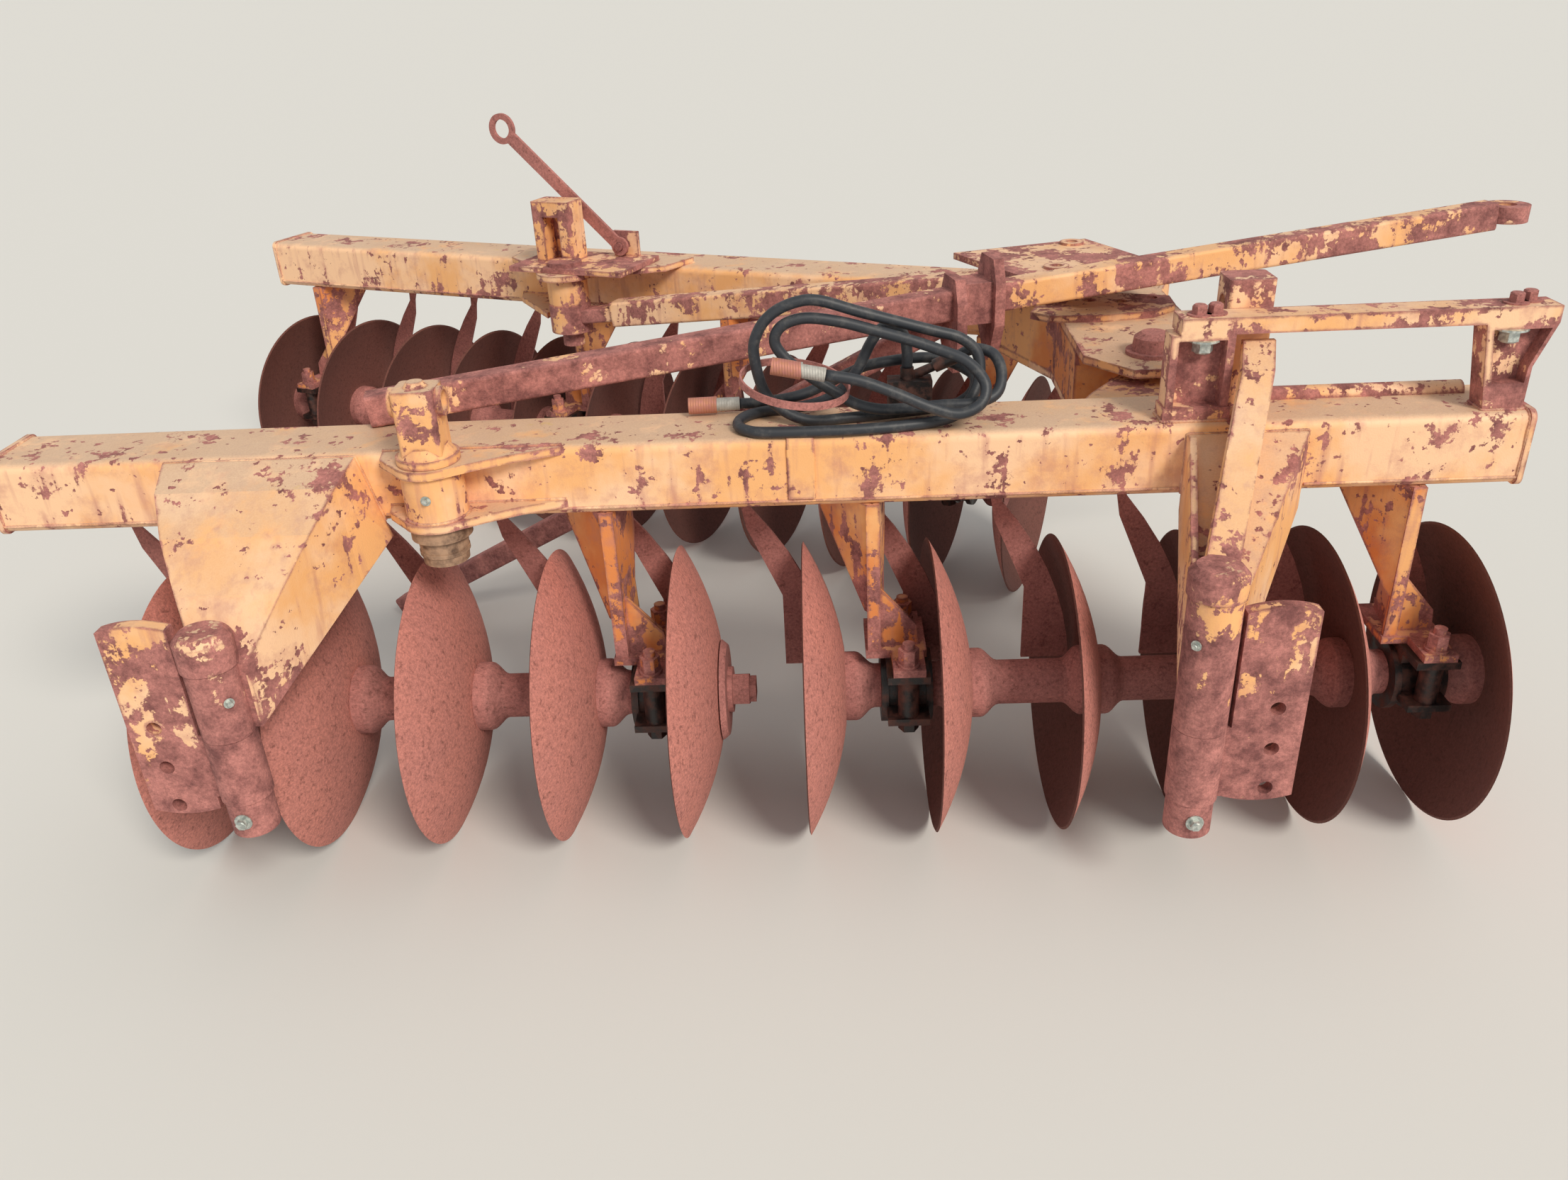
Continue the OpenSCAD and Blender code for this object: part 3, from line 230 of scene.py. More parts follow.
    # The rust's own grit of 2 mm, drawn at 6 mm so that it shows, over clouds of 50 mm
    grit = add(tree, "ShaderNodeTexNoise", {"Vector": place, "Scale": 170.0, "Detail": 5.0, "Roughness": 0.8})
    speck = add(tree, "ShaderNodeMapRange", {0: grit.outputs["Fac"], 1: 0.32, 2: 0.68, 3: 0.62, 4: 1.3})
    old = add(tree, "ShaderNodeTexNoise", {"Vector": place, "Scale": 20.0, "Detail": 7.0, "Roughness": 0.7})
    aged = add(tree, "ShaderNodeMapRange", {0: old.outputs["Fac"], 1: 0.36, 2: 0.6})
    rust_tone = add(tree, "ShaderNodeMix", {0: aged.outputs[0], 6: (*dark, 1), 7: (*rust, 1)}, data_type="RGBA")
    gritty = add(
        tree, "ShaderNodeVectorMath", {0: rust_tone.outputs[2], "Scale": speck.outputs[0]}, operation="SCALE"
    )
    surface = add(
        tree, "ShaderNodeMix", {0: bare.outputs[0], 6: dusted.outputs[2], 7: gritty.outputs[0]}, data_type="RGBA"
    )
    rough = add(tree, "ShaderNodeMapRange", {0: bare.outputs[0], 3: 0.58, 4: 0.9})
    depth = add(tree, "ShaderNodeMath", {0: bare.outputs[0], 1: -0.5}, operation="MULTIPLY")
    relief = add(tree, "ShaderNodeMath", {0: grain.outputs["Fac"], 1: depth.outputs[0]}, operation="ADD")
    bump = add(tree, "ShaderNodeBump", {"Height": relief.outputs[0], "Strength": 0.35, "Distance": 0.0012})
    shader = add(
        tree,
        "ShaderNodeBsdfPrincipled",
        {"Base Color": surface.outputs[2], "Roughness": rough.outputs[0], "Normal": bump.outputs[0]},
    )
    add(tree, "ShaderNodeOutputMaterial", {"Surface": shader.outputs[0]})
    return made


def rusted_steel(name, tone, dark, hollow_side=0.0):
    """Hot-rolled steel that lost its paint in the soil.

    The eye sees an even pink-brown rust of fine grit, darker in clouds. hollow_side is the side along X that a
    dish turns its hollow to, where the rust is darkened as painted shade and partly as dry soil and dark rust; or 0.
    """
    made, tree = new_material(name)
    spot = add(tree, "ShaderNodeTexCoord").outputs
    place = spot["Object"]
    # Grit of about 2 mm, drawn at 6 mm so that it shows, pits of about 12 mm, and clouds of about 120 mm
    grit = add(tree, "ShaderNodeTexNoise", {"Vector": place, "Scale": 170.0, "Detail": 5.0, "Roughness": 0.8})
    pits = add(tree, "ShaderNodeTexNoise", {"Vector": place, "Scale": 80.0, "Detail": 6.0, "Roughness": 0.75})
    cloud = add(tree, "ShaderNodeTexNoise", {"Vector": place, "Scale": 8.0, "Detail": 6.0, "Roughness": 0.6})
    shade = add(tree, "ShaderNodeMapRange", {0: cloud.outputs["Fac"], 1: 0.35, 2: 0.72, 4: 0.55})
    clouded = add(
        tree, "ShaderNodeMix", {0: shade.outputs[0], 6: (*tone, 1), 7: (*dark, 1)}, data_type="RGBA"
    )
    pitted = add(tree, "ShaderNodeMapRange", {0: pits.outputs["Fac"], 1: 0.53, 2: 0.66, 4: 0.65})
    base = add(
        tree, "ShaderNodeMix", {0: pitted.outputs[0], 6: clouded.outputs[2], 7: rgba("#6B3E38")}, data_type="RGBA"
    )
    speck = add(tree, "ShaderNodeMapRange", {0: grit.outputs["Fac"], 1: 0.32, 2: 0.68, 3: 0.6, 4: 1.3})
    gritty = add(tree, "ShaderNodeVectorMath", {0: base.outputs[2], "Scale": speck.outputs[0]}, operation="SCALE")
    colour = gritty.outputs["Vector"]
    # The hollow side is darkened towards #43261F: painted shade, partly dry soil and dark rust
    if hollow_side:
        across = add(tree, "ShaderNodeSeparateXYZ", {0: spot["Normal"]}).outputs["X"]
        inside = add(tree, "ShaderNodeMath", {0: across, 1: hollow_side}, operation="MULTIPLY")
        hollow_shade_and_soil = add(tree, "ShaderNodeMapRange", {0: inside.outputs[0], 1: 0.05, 2: 0.45, 4: 0.8})
        colour = add(
            tree,
            "ShaderNodeMix",
            {0: hollow_shade_and_soil.outputs[0], 6: colour, 7: rgba("#43261F")},
            data_type="RGBA",
        ).outputs[2]
    bump = add(
        tree, "ShaderNodeBump", {"Height": grit.outputs["Fac"], "Strength": 0.4, "Distance": 0.0012}
    )
    shader = add(
        tree,
        "ShaderNodeBsdfPrincipled",
        {"Base Color": colour, "Roughness": 0.88, "Normal": bump.outputs[0]},
    )
    add(tree, "ShaderNodeOutputMaterial", {"Surface": shader.outputs[0]})
    return made


def greasy_iron(name, grease, soil, soiled_from):
    """Sand-cast iron, black with old grease that holds soil.

    The eye sees a dull gloss with brown clouds. soiled_from is the noise level from which soil covers the grease;
    lower is more soil.
    """
    made, tree = new_material(name)
    place = add(tree, "ShaderNodeTexCoord").outputs["Object"]
    # Cast skin of about 3 mm grains, dirt in clouds of about 30 mm
    skin = add(tree, "ShaderNodeTexNoise", {"Vector": place, "Scale": 300.0, "Detail": 3.0})
    dirt = add(tree, "ShaderNodeTexNoise", {"Vector": place, "Scale": 30.0, "Detail": 6.0, "Roughness": 0.65})
    amount = add(tree, "ShaderNodeMapRange", {0: dirt.outputs["Fac"], 1: soiled_from, 2: soiled_from + 0.25})
    colour = add(
        tree, "ShaderNodeMix", {0: amount.outputs[0], 6: rgba(grease), 7: rgba(soil)}, data_type="RGBA"
    )
    rough = add(tree, "ShaderNodeMapRange", {0: amount.outputs[0], 3: 0.42, 4: 0.85})
    bump = add(
        tree, "ShaderNodeBump", {"Height": skin.outputs["Fac"], "Strength": 0.4, "Distance": 0.001}
    )
    shader = add(
        tree,
        "ShaderNodeBsdfPrincipled",
        {"Base Color": colour.outputs[2], "Roughness": rough.outputs[0], "Normal": bump.outputs[0]},
    )
    add(tree, "ShaderNodeOutputMaterial", {"Surface": shader.outputs[0]})
    return made


def hose_rubber(name, tone):
    """Extruded synthetic rubber cover, moulded smooth: near black, greyed by sun, with pale dust."""
    made, tree = new_material(name)
    place = add(tree, "ShaderNodeTexCoord").outputs["Object"]
    # Dust in patches of about 25 mm, fine wrap marks of 2 mm
    dust = add(tree, "ShaderNodeTexNoise", {"Vector": place, "Scale": 40.0, "Detail": 5.0, "Roughness": 0.7})
    amount = add(tree, "ShaderNodeMapRange", {0: dust.outputs["Fac"], 1: 0.5, 2: 0.8, 4: 0.55})
    colour = add(
        tree, "ShaderNodeMix", {0: amount.outputs[0], 6: (*tone, 1), 7: rgba("#6E6B68")}, data_type="RGBA"
    )
    mark = add(tree, "ShaderNodeTexNoise", {"Vector": place, "Scale": 500.0, "Detail": 2.0})
    bump = add(
        tree, "ShaderNodeBump", {"Height": mark.outputs["Fac"], "Strength": 0.15, "Distance": 0.0006}
    )
    shader = add(
        tree,
        "ShaderNodeBsdfPrincipled",
        {"Base Color": colour.outputs[2], "Roughness": 0.5, "Normal": bump.outputs[0]},
    )
    add(tree, "ShaderNodeOutputMaterial", {"Surface": shader.outputs[0]})
    return made


def zinc_plate(name):
    """Zinc-plated steel, dulled outdoors: pale grey metal with a milky bloom in spots."""
    made, tree = new_material(name)
    place = add(tree, "ShaderNodeTexCoord").outputs["Object"]
    # Bloom in spots of about 6 mm
    bloom = add(tree, "ShaderNodeTexNoise", {"Vector": place, "Scale": 160.0, "Detail": 4.0})
    amount = add(tree, "ShaderNodeMapRange", {0: bloom.outputs["Fac"], 1: 0.4, 2: 0.65})
    colour = add(
        tree, "ShaderNodeMix", {0: amount.outputs[0], 6: rgba("#A9B0AC"), 7: rgba("#D4D8D2")}, data_type="RGBA"
    )
    rough = add(tree, "ShaderNodeMapRange", {0: amount.outputs[0], 3: 0.35, 4: 0.6})
    shader = add(
        tree,
        "ShaderNodeBsdfPrincipled",
        {"Base Color": colour.outputs[2], "Roughness": rough.outputs[0], "Metallic": 0.7},
    )
    add(tree, "ShaderNodeOutputMaterial", {"Surface": shader.outputs[0]})
    return made


def crimped_ferrule(name, ends_at, rust):
    """A zinc-plated ferrule crimped on the hose, on a coupling whose plating has gone to brown rust.

    The eye sees ribbed, dull pale grey with white bloom. ends_at is where the ferrule ends along X, in metres.
    """
    made, tree = new_material(name)
    place = add(tree, "ShaderNodeTexCoord").outputs["Object"]
    along = add(tree, "ShaderNodeSeparateXYZ", {0: place}).outputs["X"]
    # Crimp marks 5 mm apart, bloom and rust in spots of about 8 mm
    crimp = add(tree, "ShaderNodeMath", {0: along, 1: math.tau / 0.005}, operation="MULTIPLY")
    ridge = add(tree, "ShaderNodeMath", {0: crimp.outputs[0]}, operation="SINE")
    spots = add(tree, "ShaderNodeTexNoise", {"Vector": place, "Scale": 120.0, "Detail": 5.0, "Roughness": 0.65})
    bloom = add(
        tree, "ShaderNodeMix", {0: spots.outputs["Fac"], 6: rgba("#8E8A84"), 7: rgba("#D2D0CA")}, data_type="RGBA"
    )
    gone = add(tree, "ShaderNodeMapRange", {0: spots.outputs["Fac"], 1: 0.35, 2: 0.65})
    brown = add(tree, "ShaderNodeMix", {0: gone.outputs[0], 6: (*rust, 1), 7: rgba("#B97F62")}, data_type="RGBA")
    plated = add(tree, "ShaderNodeMath", {0: along, 1: ends_at}, operation="GREATER_THAN")
    colour = add(
        tree, "ShaderNodeMix", {0: plated.outputs[0], 6: brown.outputs[2], 7: bloom.outputs[2]}, data_type="RGBA"
    )
    bump = add(tree, "ShaderNodeBump", {"Height": ridge.outputs[0], "Strength": 0.4, "Distance": 0.0008})
    shader = add(
        tree,
        "ShaderNodeBsdfPrincipled",
        {"Base Color": colour.outputs[2], "Roughness": 0.62, "Metallic": 0.25, "Normal": bump.outputs[0]},
    )
    add(tree, "ShaderNodeOutputMaterial", {"Surface": shader.outputs[0]})
    return made


# Which finish each CAD node gets
FINISHES = {
    "faded enamel": [
        "front_beam", "rear_beam", "left_bracket", "right_bracket", "front_pivot", "rear_pivot",
        "swivel_post", "apex_plates",
    ],
    "worn enamel": [
        "swivel_head", "quadrant", "tongue_bar", "hose_rail", "mast", "box_arm", "left_leaf", "right_leaf",
        "top_bar",
    ],
    "last of the enamel": ["tongue_legs", "tongue_clamp"],
    "shaded enamel": ["front_hangers", "rear_hangers", "rear_elbow", "apex_lugs"],
    "rusted steel": [
        "front_scrapers", "rear_scrapers", "apex_pin", "latch_lever", "front_left_axle", "front_right_axle",
        "rear_left_axle", "rear_right_axle", "hose_ring",
    ],
    "rusted dish front": ["front_left_discs", "front_right_discs"],
    "rusted dish rear": ["rear_left_discs", "rear_right_discs"],
    "greasy cast iron": ["front_bearings", "rear_bearings", "hose_block"],
    "soiled grease": ["pivot_boot"],
    "crimped ferrule one": ["coupling_one"],
    "crimped ferrule two": ["coupling_two"],
}
# Each enamel's coat, the share of it that has worn off and the dust on top
ENAMELS = {
    "faded enamel": ("paint", 0.06, 0.85),
    "worn enamel": ("paint", 0.15, 0.4),
    "last of the enamel": ("paint", 0.25, 0.3),
    "shaded enamel": ("paint_deep", 0.09, 0.5),
}
# The side along X that each row of dishes turns its hollow to, darkened there with painted shade and dry soil
HOLLOW_SIDES = {"rusted dish front": -1.0, "rusted dish rear": 1.0}
# Grease, soil and the level from which the soil shows
GREASES = {"greasy cast iron": ("#1F1A1A", "#6B4237", 0.45), "soiled grease": ("#5A4336", "#B08E74", 0.32)}
# Where each ferrule ends along the layout's X, in millimetres
FERRULE_ENDS = {"crimped ferrule one": -209, "crimped ferrule two": -40}


def made_finish(name, look):
    """The material of one row of FINISHES."""
    if name in ENAMELS:
        coat, worn, dusty = ENAMELS[name]
        return painted_steel(
            name, getattr(look, coat), look.paint_yellow, look.rust, look.rust_dark, look.chip_size, worn, dusty
        )
    if name in HOLLOW_SIDES:
        return rusted_steel(name, look.disc_rust, look.rust, HOLLOW_SIDES[name])
    if name in GREASES:
        return greasy_iron(name, *GREASES[name])
    if name in FERRULE_ENDS:
        return crimped_ferrule(name, at(FERRULE_ENDS[name], 0, 0).x, look.rust)
    return rusted_steel(name, look.rust, look.rust_dark)


class HARROW_OT_finishes(bpy.types.Operator):
    """Give every CAD piece its procedural finish"""

    bl_idname = "harrow.finishes"
    bl_label = "Paint and rust"

    def execute(self, context):
        look = context.scene.harrow
        for name, nodes in FINISHES.items():
            finish = made_finish(name, look)
            for node in nodes:
                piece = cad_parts[node]
                piece.data.materials.clear()
                piece.data.materials.append(finish)
        hose_rubber("hose rubber", look.hose)
        zinc_plate("zinc plate")
        return {"FINISHED"}


# Hoses

# Routes of the two hoses, the same points as in the CAD source, in its layout and in millimetres
HOSE_D = 21
ROUTES = {
    "hose_one": [
        (160, 96, 958), (160, 96, 988), (155, 95, 1018), (138, 92, 1040), (112, 88, 1038), (90, 85, 1010),
        (64, 82, 960), (28, 84, 918), (-26, 90, 892), (-122, 84, 883), (-156, 54, 883), (-164, 14, 883),
        (-144, -18, 883), (-96, -32, 883), (80, -31, 883), (222, -4, 886), (268, 22, 908), (291, 44, 948),
        (288, 56, 992), (256, 58, 1022), (200, 56, 1040), (72, 50, 1080), (-4, 47, 1105), (-48, 45, 1104),
        (-90, 43, 1086), (-118, 42, 1054), (-128, 42, 1008), (-106, 44, 926), (-40, 30, 884), (50, 34, 883),
        (220, 50, 892), (268, 64, 902), (290, 92, 920), (280, 122, 938), (210, 138, 962), (100, 132, 956),
        (44, 128, 938), (-44, 116, 904), (-130, 112, 893), (-165, 110, 893),
    ],
    "hose_two": [
        (252, 92, 976), (286, 86, 992), (320, 66, 986), (332, 40, 958), (320, 12, 928), (278, -4, 916),
        (220, -2, 914), (160, 4, 908), (104, 10, 906), (58, 18, 916), (16, 26, 940), (-28, 30, 970),
        (-66, 32, 1000), (-88, 34, 1034), (-74, 34, 1064), (-30, 38, 1076), (36, 38, 1066), (100, 34, 1048),
        (156, 28, 1032), (210, 20, 1014), (262, 4, 994), (294, -20, 960), (286, -40, 928), (244, -48, 912),
        (190, -44, 926), (130, -38, 952), (66, -32, 976), (4, -28, 988),
    ],
}
# Steps of the smooth line between two of a route's points
ROUTE_STEPS = 6


def smooth_line(points, parts):
    """Points of a smooth curve through the given ones."""
    padded = [points[0] * 2 - points[1], *points, points[-1] * 2 - points[-2]]
    line = []
    for a, b, c, d in zip(padded, padded[1:], padded[2:], padded[3:]):
        for i in range(parts):
            t = i / parts
            line.append(
                (b * 2 + (c - a) * t + (a * 2 - b * 5 + c * 4 - d) * t * t + (b * 3 - a - c * 3 + d) * t**3) / 2
            )
    return [*line, points[-1]]


def tube(name, line, radius, sides):
    """A closed round tube along a line, its section carried on without twist."""
    mesh = bpy.data.meshes.new(name)
    shape = bmesh.new()
    side = Vector((0, 1, 0))
    rings = []
    turns = [k * math.tau / sides for k in range(sides)]
    for i, point in enumerate(line):
        ahead = (line[min(i + 1, len(line) - 1)] - line[max(i - 1, 0)]).normalized()
        side = (side - ahead * side.dot(ahead)).normalized()
        other = ahead.cross(side)
        rings.append([shape.verts.new(point + (side * math.cos(a) + other * math.sin(a)) * radius) for a in turns])
    for low, high in zip(rings, rings[1:]):
        for k in range(sides):
            nxt = (k + 1) % sides
            shape.faces.new((low[k], low[nxt], high[nxt], high[k])).smooth = True
    shape.faces.new(list(reversed(rings[0])))
    shape.faces.new(rings[-1])
    shape.to_mesh(mesh)
    shape.free()
    made = bpy.data.objects.new(name, mesh)
    bpy.context.collection.objects.link(made)
    return made


class HARROW_OT_hoses(bpy.types.Operator):
    """Lay the two hydraulic hoses in their loops on the front beam"""

    bl_idname = "harrow.hoses"
    bl_label = "Hoses"

    def execute(self, context):
        look = context.scene.harrow
        for name, route in ROUTES.items():
            line = smooth_line([at(*p) for p in route], ROUTE_STEPS)
            hose = tube(name + "_cover", line, HOSE_D / 2 * MM, look.hose_sides)
            hose.data.materials.append(bpy.data.materials["hose rubber"])
            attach(hose, "front_frame")
            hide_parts(name)
        return {"FINISHED"}


# Bolts and welds, made by Geometry Nodes


def new_tree(name, sizes):
    """A Geometry Nodes tree with a geometry in and out, and a named input for each size and finish."""
    tree = bpy.data.node_groups.new(name, "GeometryNodeTree")
    tree.interface.new_socket("Geometry", in_out="INPUT", socket_type="NodeSocketGeometry")
    for label, kind in sizes:
        tree.interface.new_socket(label, in_out="INPUT", socket_type=kind)
    tree.interface.new_socket("Geometry", in_out="OUTPUT", socket_type="NodeSocketGeometry")
    return tree, add(tree, "NodeGroupInput").outputs


def finished_by(tree, name, mesh, values, body):
    """Runs a tree on a mesh and keeps the result as one plain piece that rides on a body."""
    piece = bpy.data.objects.new(name, mesh)
    bpy.context.collection.objects.link(piece)
    step = piece.modifiers.new(tree.name, "NODES")
    step.node_group = tree
    for item in tree.interface.items_tree:
        if item.item_type == "SOCKET" and item.in_out == "INPUT" and item.name in values:
            step[item.identifier] = values[item.name]
    graph = bpy.context.evaluated_depsgraph_get()
    made = bpy.data.meshes.new_from_object(piece.evaluated_get(graph), depsgraph=graph)
    piece.modifiers.clear()
    piece.data = made
    if not made.polygons:
        raise RuntimeError(name + " came out empty")
    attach(piece, body)


# Sides of a washer and of a head's turned top
TURNED_SIDES = 20


def bolt_tree():
    """Hex head with a turned top on a round washer, stood on each point along its facing."""
    length = "NodeSocketFloat"
    tree, given = new_tree(
        "hex bolts",
        (("Across", length), ("Head", length), ("Washer", length), ("Finish", "NodeSocketMaterial")),
    )
    shares = (
        ("corner", "Across", 0.5 / math.cos(math.pi / 6)),
        ("rim", "Across", 0.9),
        ("crown low", "Across", 0.49),
        ("crown top", "Across", 0.42),
        ("crown height", "Head", 0.16),
        ("washer middle", "Washer", 0.5),
    )
    part_of = {
        part: add(tree, "ShaderNodeMath", {0: given[whole], 1: share}, operation="MULTIPLY").outputs[0]
        for part, whole, share in shares
    }
    head_mid = add(
        tree, "ShaderNodeMath", {0: given["Head"], 1: 0.5, 2: given["Washer"]}, operation="MULTIPLY_ADD"
    ).outputs[0]
    head_top = add(tree, "ShaderNodeMath", {0: given["Head"], 1: given["Washer"]}, operation="ADD").outputs[0]
    washer = add(
        tree,
        "GeometryNodeMeshCylinder",
        {"Vertices": TURNED_SIDES, "Radius": part_of["rim"], "Depth": given["Washer"]},
    )
    head = add(
        tree, "GeometryNodeMeshCylinder", {"Vertices": 6, "Radius": part_of["corner"], "Depth": given["Head"]}
    )
    turned = add(
        tree,
        "GeometryNodeMeshCone",
        {
            "Vertices": TURNED_SIDES,
            "Radius Top": part_of["crown top"],
            "Radius Bottom": part_of["crown low"],
            "Depth": part_of["crown height"],
        },
    )
    whole = add(tree, "GeometryNodeJoinGeometry")
    for part, level in ((washer, part_of["washer middle"]), (head, head_mid), (turned, head_top)):
        lift = add(tree, "ShaderNodeCombineXYZ", {"Z": level})
        moved = add(tree, "GeometryNodeTransform", {0: part.outputs["Mesh"], 1: lift.outputs[0]})
        tree.links.new(moved.outputs[0], whole.inputs[0])
    facing = add(tree, "GeometryNodeInputNamedAttribute", {"Name": "facing"}, data_type="FLOAT_VECTOR")
    turn = add(tree, "FunctionNodeAlignRotationToVector", {"Vector": facing.outputs[0]}, axis="Z")
    stood = add(
        tree,
        "GeometryNodeInstanceOnPoints",
        {"Points": given["Geometry"], "Instance": whole.outputs[0], "Rotation": turn.outputs[0]},
    )
    real = add(tree, "GeometryNodeRealizeInstances", {0: stood.outputs[0]})
    done = add(tree, "GeometryNodeSetMaterial", {0: real.outputs[0], "Material": given["Finish"]})
    add(tree, "NodeGroupOutput", {0: done.outputs[0]})
    return tree


def weld_tree():
    """A rippled bead laid along each edge, its width changing a little as a hand-laid weld's does."""
    tree, given = new_tree(
        "weld bead",
        (("Width", "NodeSocketFloat"), ("Ripple", "NodeSocketFloat"), ("Finish", "NodeSocketMaterial")),
    )
    line = add(tree, "GeometryNodeMeshToCurve", {0: given["Geometry"]})
    half = add(tree, "ShaderNodeMath", {0: given["Ripple"], 1: 0.5}, operation="MULTIPLY")
    steps = add(tree, "GeometryNodeResampleCurve", {0: line.outputs[0], "Length": half.outputs[0]}, mode="LENGTH")
    order = add(tree, "GeometryNodeInputIndex")
    valley = add(tree, "ShaderNodeMath", {0: order.outputs[0], 1: 2.0}, operation="MODULO")
    spot = add(tree, "GeometryNodeInputPosition")
    # The hand's waver, about 40 mm long
    waver = add(tree, "ShaderNodeTexNoise", {"Vector": spot.outputs[0], "Scale": 25.0})
    swell = add(tree, "ShaderNodeMapRange", {0: waver.outputs["Fac"], 1: 0.3, 2: 0.7, 3: 0.8, 4: 1.3})
    size = add(
        tree, "ShaderNodeMath", {0: valley.outputs[0], 1: -0.22, 2: swell.outputs[0]}, operation="MULTIPLY_ADD"
    )
    ring = add(tree, "GeometryNodeCurvePrimitiveCircle", {"Resolution": 6})
    radius = add(tree, "ShaderNodeMath", {0: given["Width"], 1: 0.5}, operation="MULTIPLY")
    tree.links.new(radius.outputs[0], ring.inputs["Radius"])
    bead = add(
        tree,
        "GeometryNodeCurveToMesh",
        {0: steps.outputs[0], 1: ring.outputs[0], "Scale": size.outputs[0], "Fill Caps": True},
    )
    smooth = add(tree, "GeometryNodeSetShadeSmooth", {0: bead.outputs[0]})
    real = add(tree, "GeometryNodeRealizeInstances", {0: smooth.outputs[0]})
    done = add(tree, "GeometryNodeSetMaterial", {0: real.outputs[0], "Material": given["Finish"]})
    add(tree, "NodeGroupOutput", {0: done.outputs[0]})
    return tree


def points_mesh(name, places):
    """Loose points, each with the direction that a bolt on it faces."""
    mesh = bpy.data.meshes.new(name)
    mesh.from_pydata([point for point, facing in places], [], [])
    facings = mesh.attributes.new("facing", "FLOAT_VECTOR", "POINT")
    for mark, (point, facing) in zip(facings.data, places):
        mark.vector = facing
    return mesh


def lines_mesh(name, lines):
    """Open lines of edges."""
    mesh = bpy.data.meshes.new(name)
    points, edges = [], []
    for line in lines:
        start = len(points)
        points += line
        edges += [(i, i + 1) for i in range(start, start + len(line) - 1)]
    mesh.from_pydata(points, edges, [])
    return mesh


UP, FORWARD, DOWN = (0, 0, 1), (0, -1, 0), (0, 0, -1)
# A head's height and a washer's thickness as shares of the width across the flats
HEAD_SHARE, WASHER_SHARE = 0.6, 0.12
# Height of the top bar, and of the shelf below it in the supports
BAR_TOP = 1062
SHELF_LOW = 1022
# Bolts down through the top bar, and their plated nuts in the open supports below
BAR_BOLTS = ((676, 8), (706, 14), (1232, 8), (1262, 22))
BAR_NUTS = ((686, 0), (1228, -2))
# Clamp screws in the hinges' collars, and grease nipples
COLLAR_SCREWS = ((-1082, -414, 309), (640, -414, 256))
NIPPLES = (
    ((-730, -142, 815), FORWARD),
    ((-1048, -406, 560), (0.7, -0.7, 0)),
    ((606, -406, 620), (-0.7, -0.7, 0)),
)


class HARROW_OT_bolts(bpy.types.Operator):
    """Fit the bolts of the top bar, the hinges' clamp screws and the grease nipples"""

    bl_idname = "harrow.bolts"
    bl_label = "Bolts"

    def execute(self, context):
        look = context.scene.harrow
        finish = bpy.data.materials
        tree = bolt_tree()
        # Name, places, width as a share of the bolt setting, finish and slot
        rows = (
            ("bar_bolts", [(at(x, y, BAR_TOP), UP) for x, y in BAR_BOLTS], 0.8, "rusted steel", "disc_rust"),
            ("bar_nuts", [(at(x, y, SHELF_LOW), DOWN) for x, y in BAR_NUTS], 1.1, "zinc plate", "greasy_iron"),
            ("collar_screws", [(at(*p), FORWARD) for p in COLLAR_SCREWS], 0.6, "zinc plate", "greasy_iron"),
            ("grease_nipples", [(at(*p), facing) for p, facing in NIPPLES], 0.35, "zinc plate", "greasy_iron"),
        )
        for name, places, share, steel, slot in rows:
            across = look.bolt * share
            values = {
                "Across": across,
                "Head": across * HEAD_SHARE,
                "Washer": across * WASHER_SHARE,
                "Finish": finish[steel],
            }
            finished_by(tree, name, points_mesh(name, places), values, "front_frame")
        return {"FINISHED"}


def arc(x, y, z, r, start, end, steps=24):
    """Points of a level arc round a place of the layout, between two angles in degrees."""
    turns = [math.radians(start + (end - start) * i / steps) for i in range(steps + 1)]
    return [at(x + r * math.cos(a), y + r * math.sin(a), z) for a in turns]


def ring_round(place, x, low, high, front, back, r):
    """A line round a beam's section at x, through its round corners."""
    corners = (
        (back - r, high - r, 90), (front + r, high - r, 180), (front + r, low + r, 270), (back - r, low + r, 360),
    )
    line = []
    for y, z, end in corners:
        for i in range(5):
            a = math.radians(end - 90 + 90 * i / 4)
            line.append(place(x, y + r * math.cos(a), z + r * math.sin(a)))
    return [*line, line[0]]


def foot_bead(x0, y0, x1, y1, closed=False):
    """A bead round a foot on the front beam's top: on all four sides, or on all but the back."""
    if closed:
        corners = ((x0, y0), (x1, y0), (x1, y1), (x0, y1), (x0, y0))
    else:
        corners = ((x0, y1), (x0, y0), (x1, y0), (x1, y1))
    return [at(x, y, ON_TOP) for x, y in corners]


# The front beam's faces and ends in the layout, and the rear beam's along itself, in millimetres
FRONT, BACK = -40, 140
BEAM_LOW = 732
BEAM_ROUND = 18
BEAM_ENDS = (-1610, 1290)
REAR_HALF, REAR_LENGTH = 90, 2900
CAP = 10
# Heights of the beads on the beams' tops, along the beams' own seams, and against the pivots' plates
ON_TOP = BEAM_TOP + 1
SEAM = BEAM_LOW + 15
ON_LOWER_PLATE, UNDER_UPPER_PLATE = 767, 855
# Beads beside the hinge brackets, in x and z on the beam's front face
BRACKET_FOOT = BEAM_LOW + 4
SHOULDER = BEAM_TOP - BEAM_ROUND
LEFT_BRACKET = ((-1251, BRACKET_FOOT), (-1251, 867), (-884, 867), (-851, BRACKET_FOOT))
RIGHT_BRACKET = ((664, BRACKET_FOOT), (664, SHOULDER), (885, SHOULDER), (885, BRACKET_FOOT))
# The front pivot's two plates where they meet the beam, from x to x, and the boss between them with the angles of
# its bead
UPPER_PLATE, LOWER_PLATE = (-834, -494), (-834, -496)
BOSS = (-730, -84)
BOSS_BEAD_R = 58
BOSS_TURN = (160, 380)
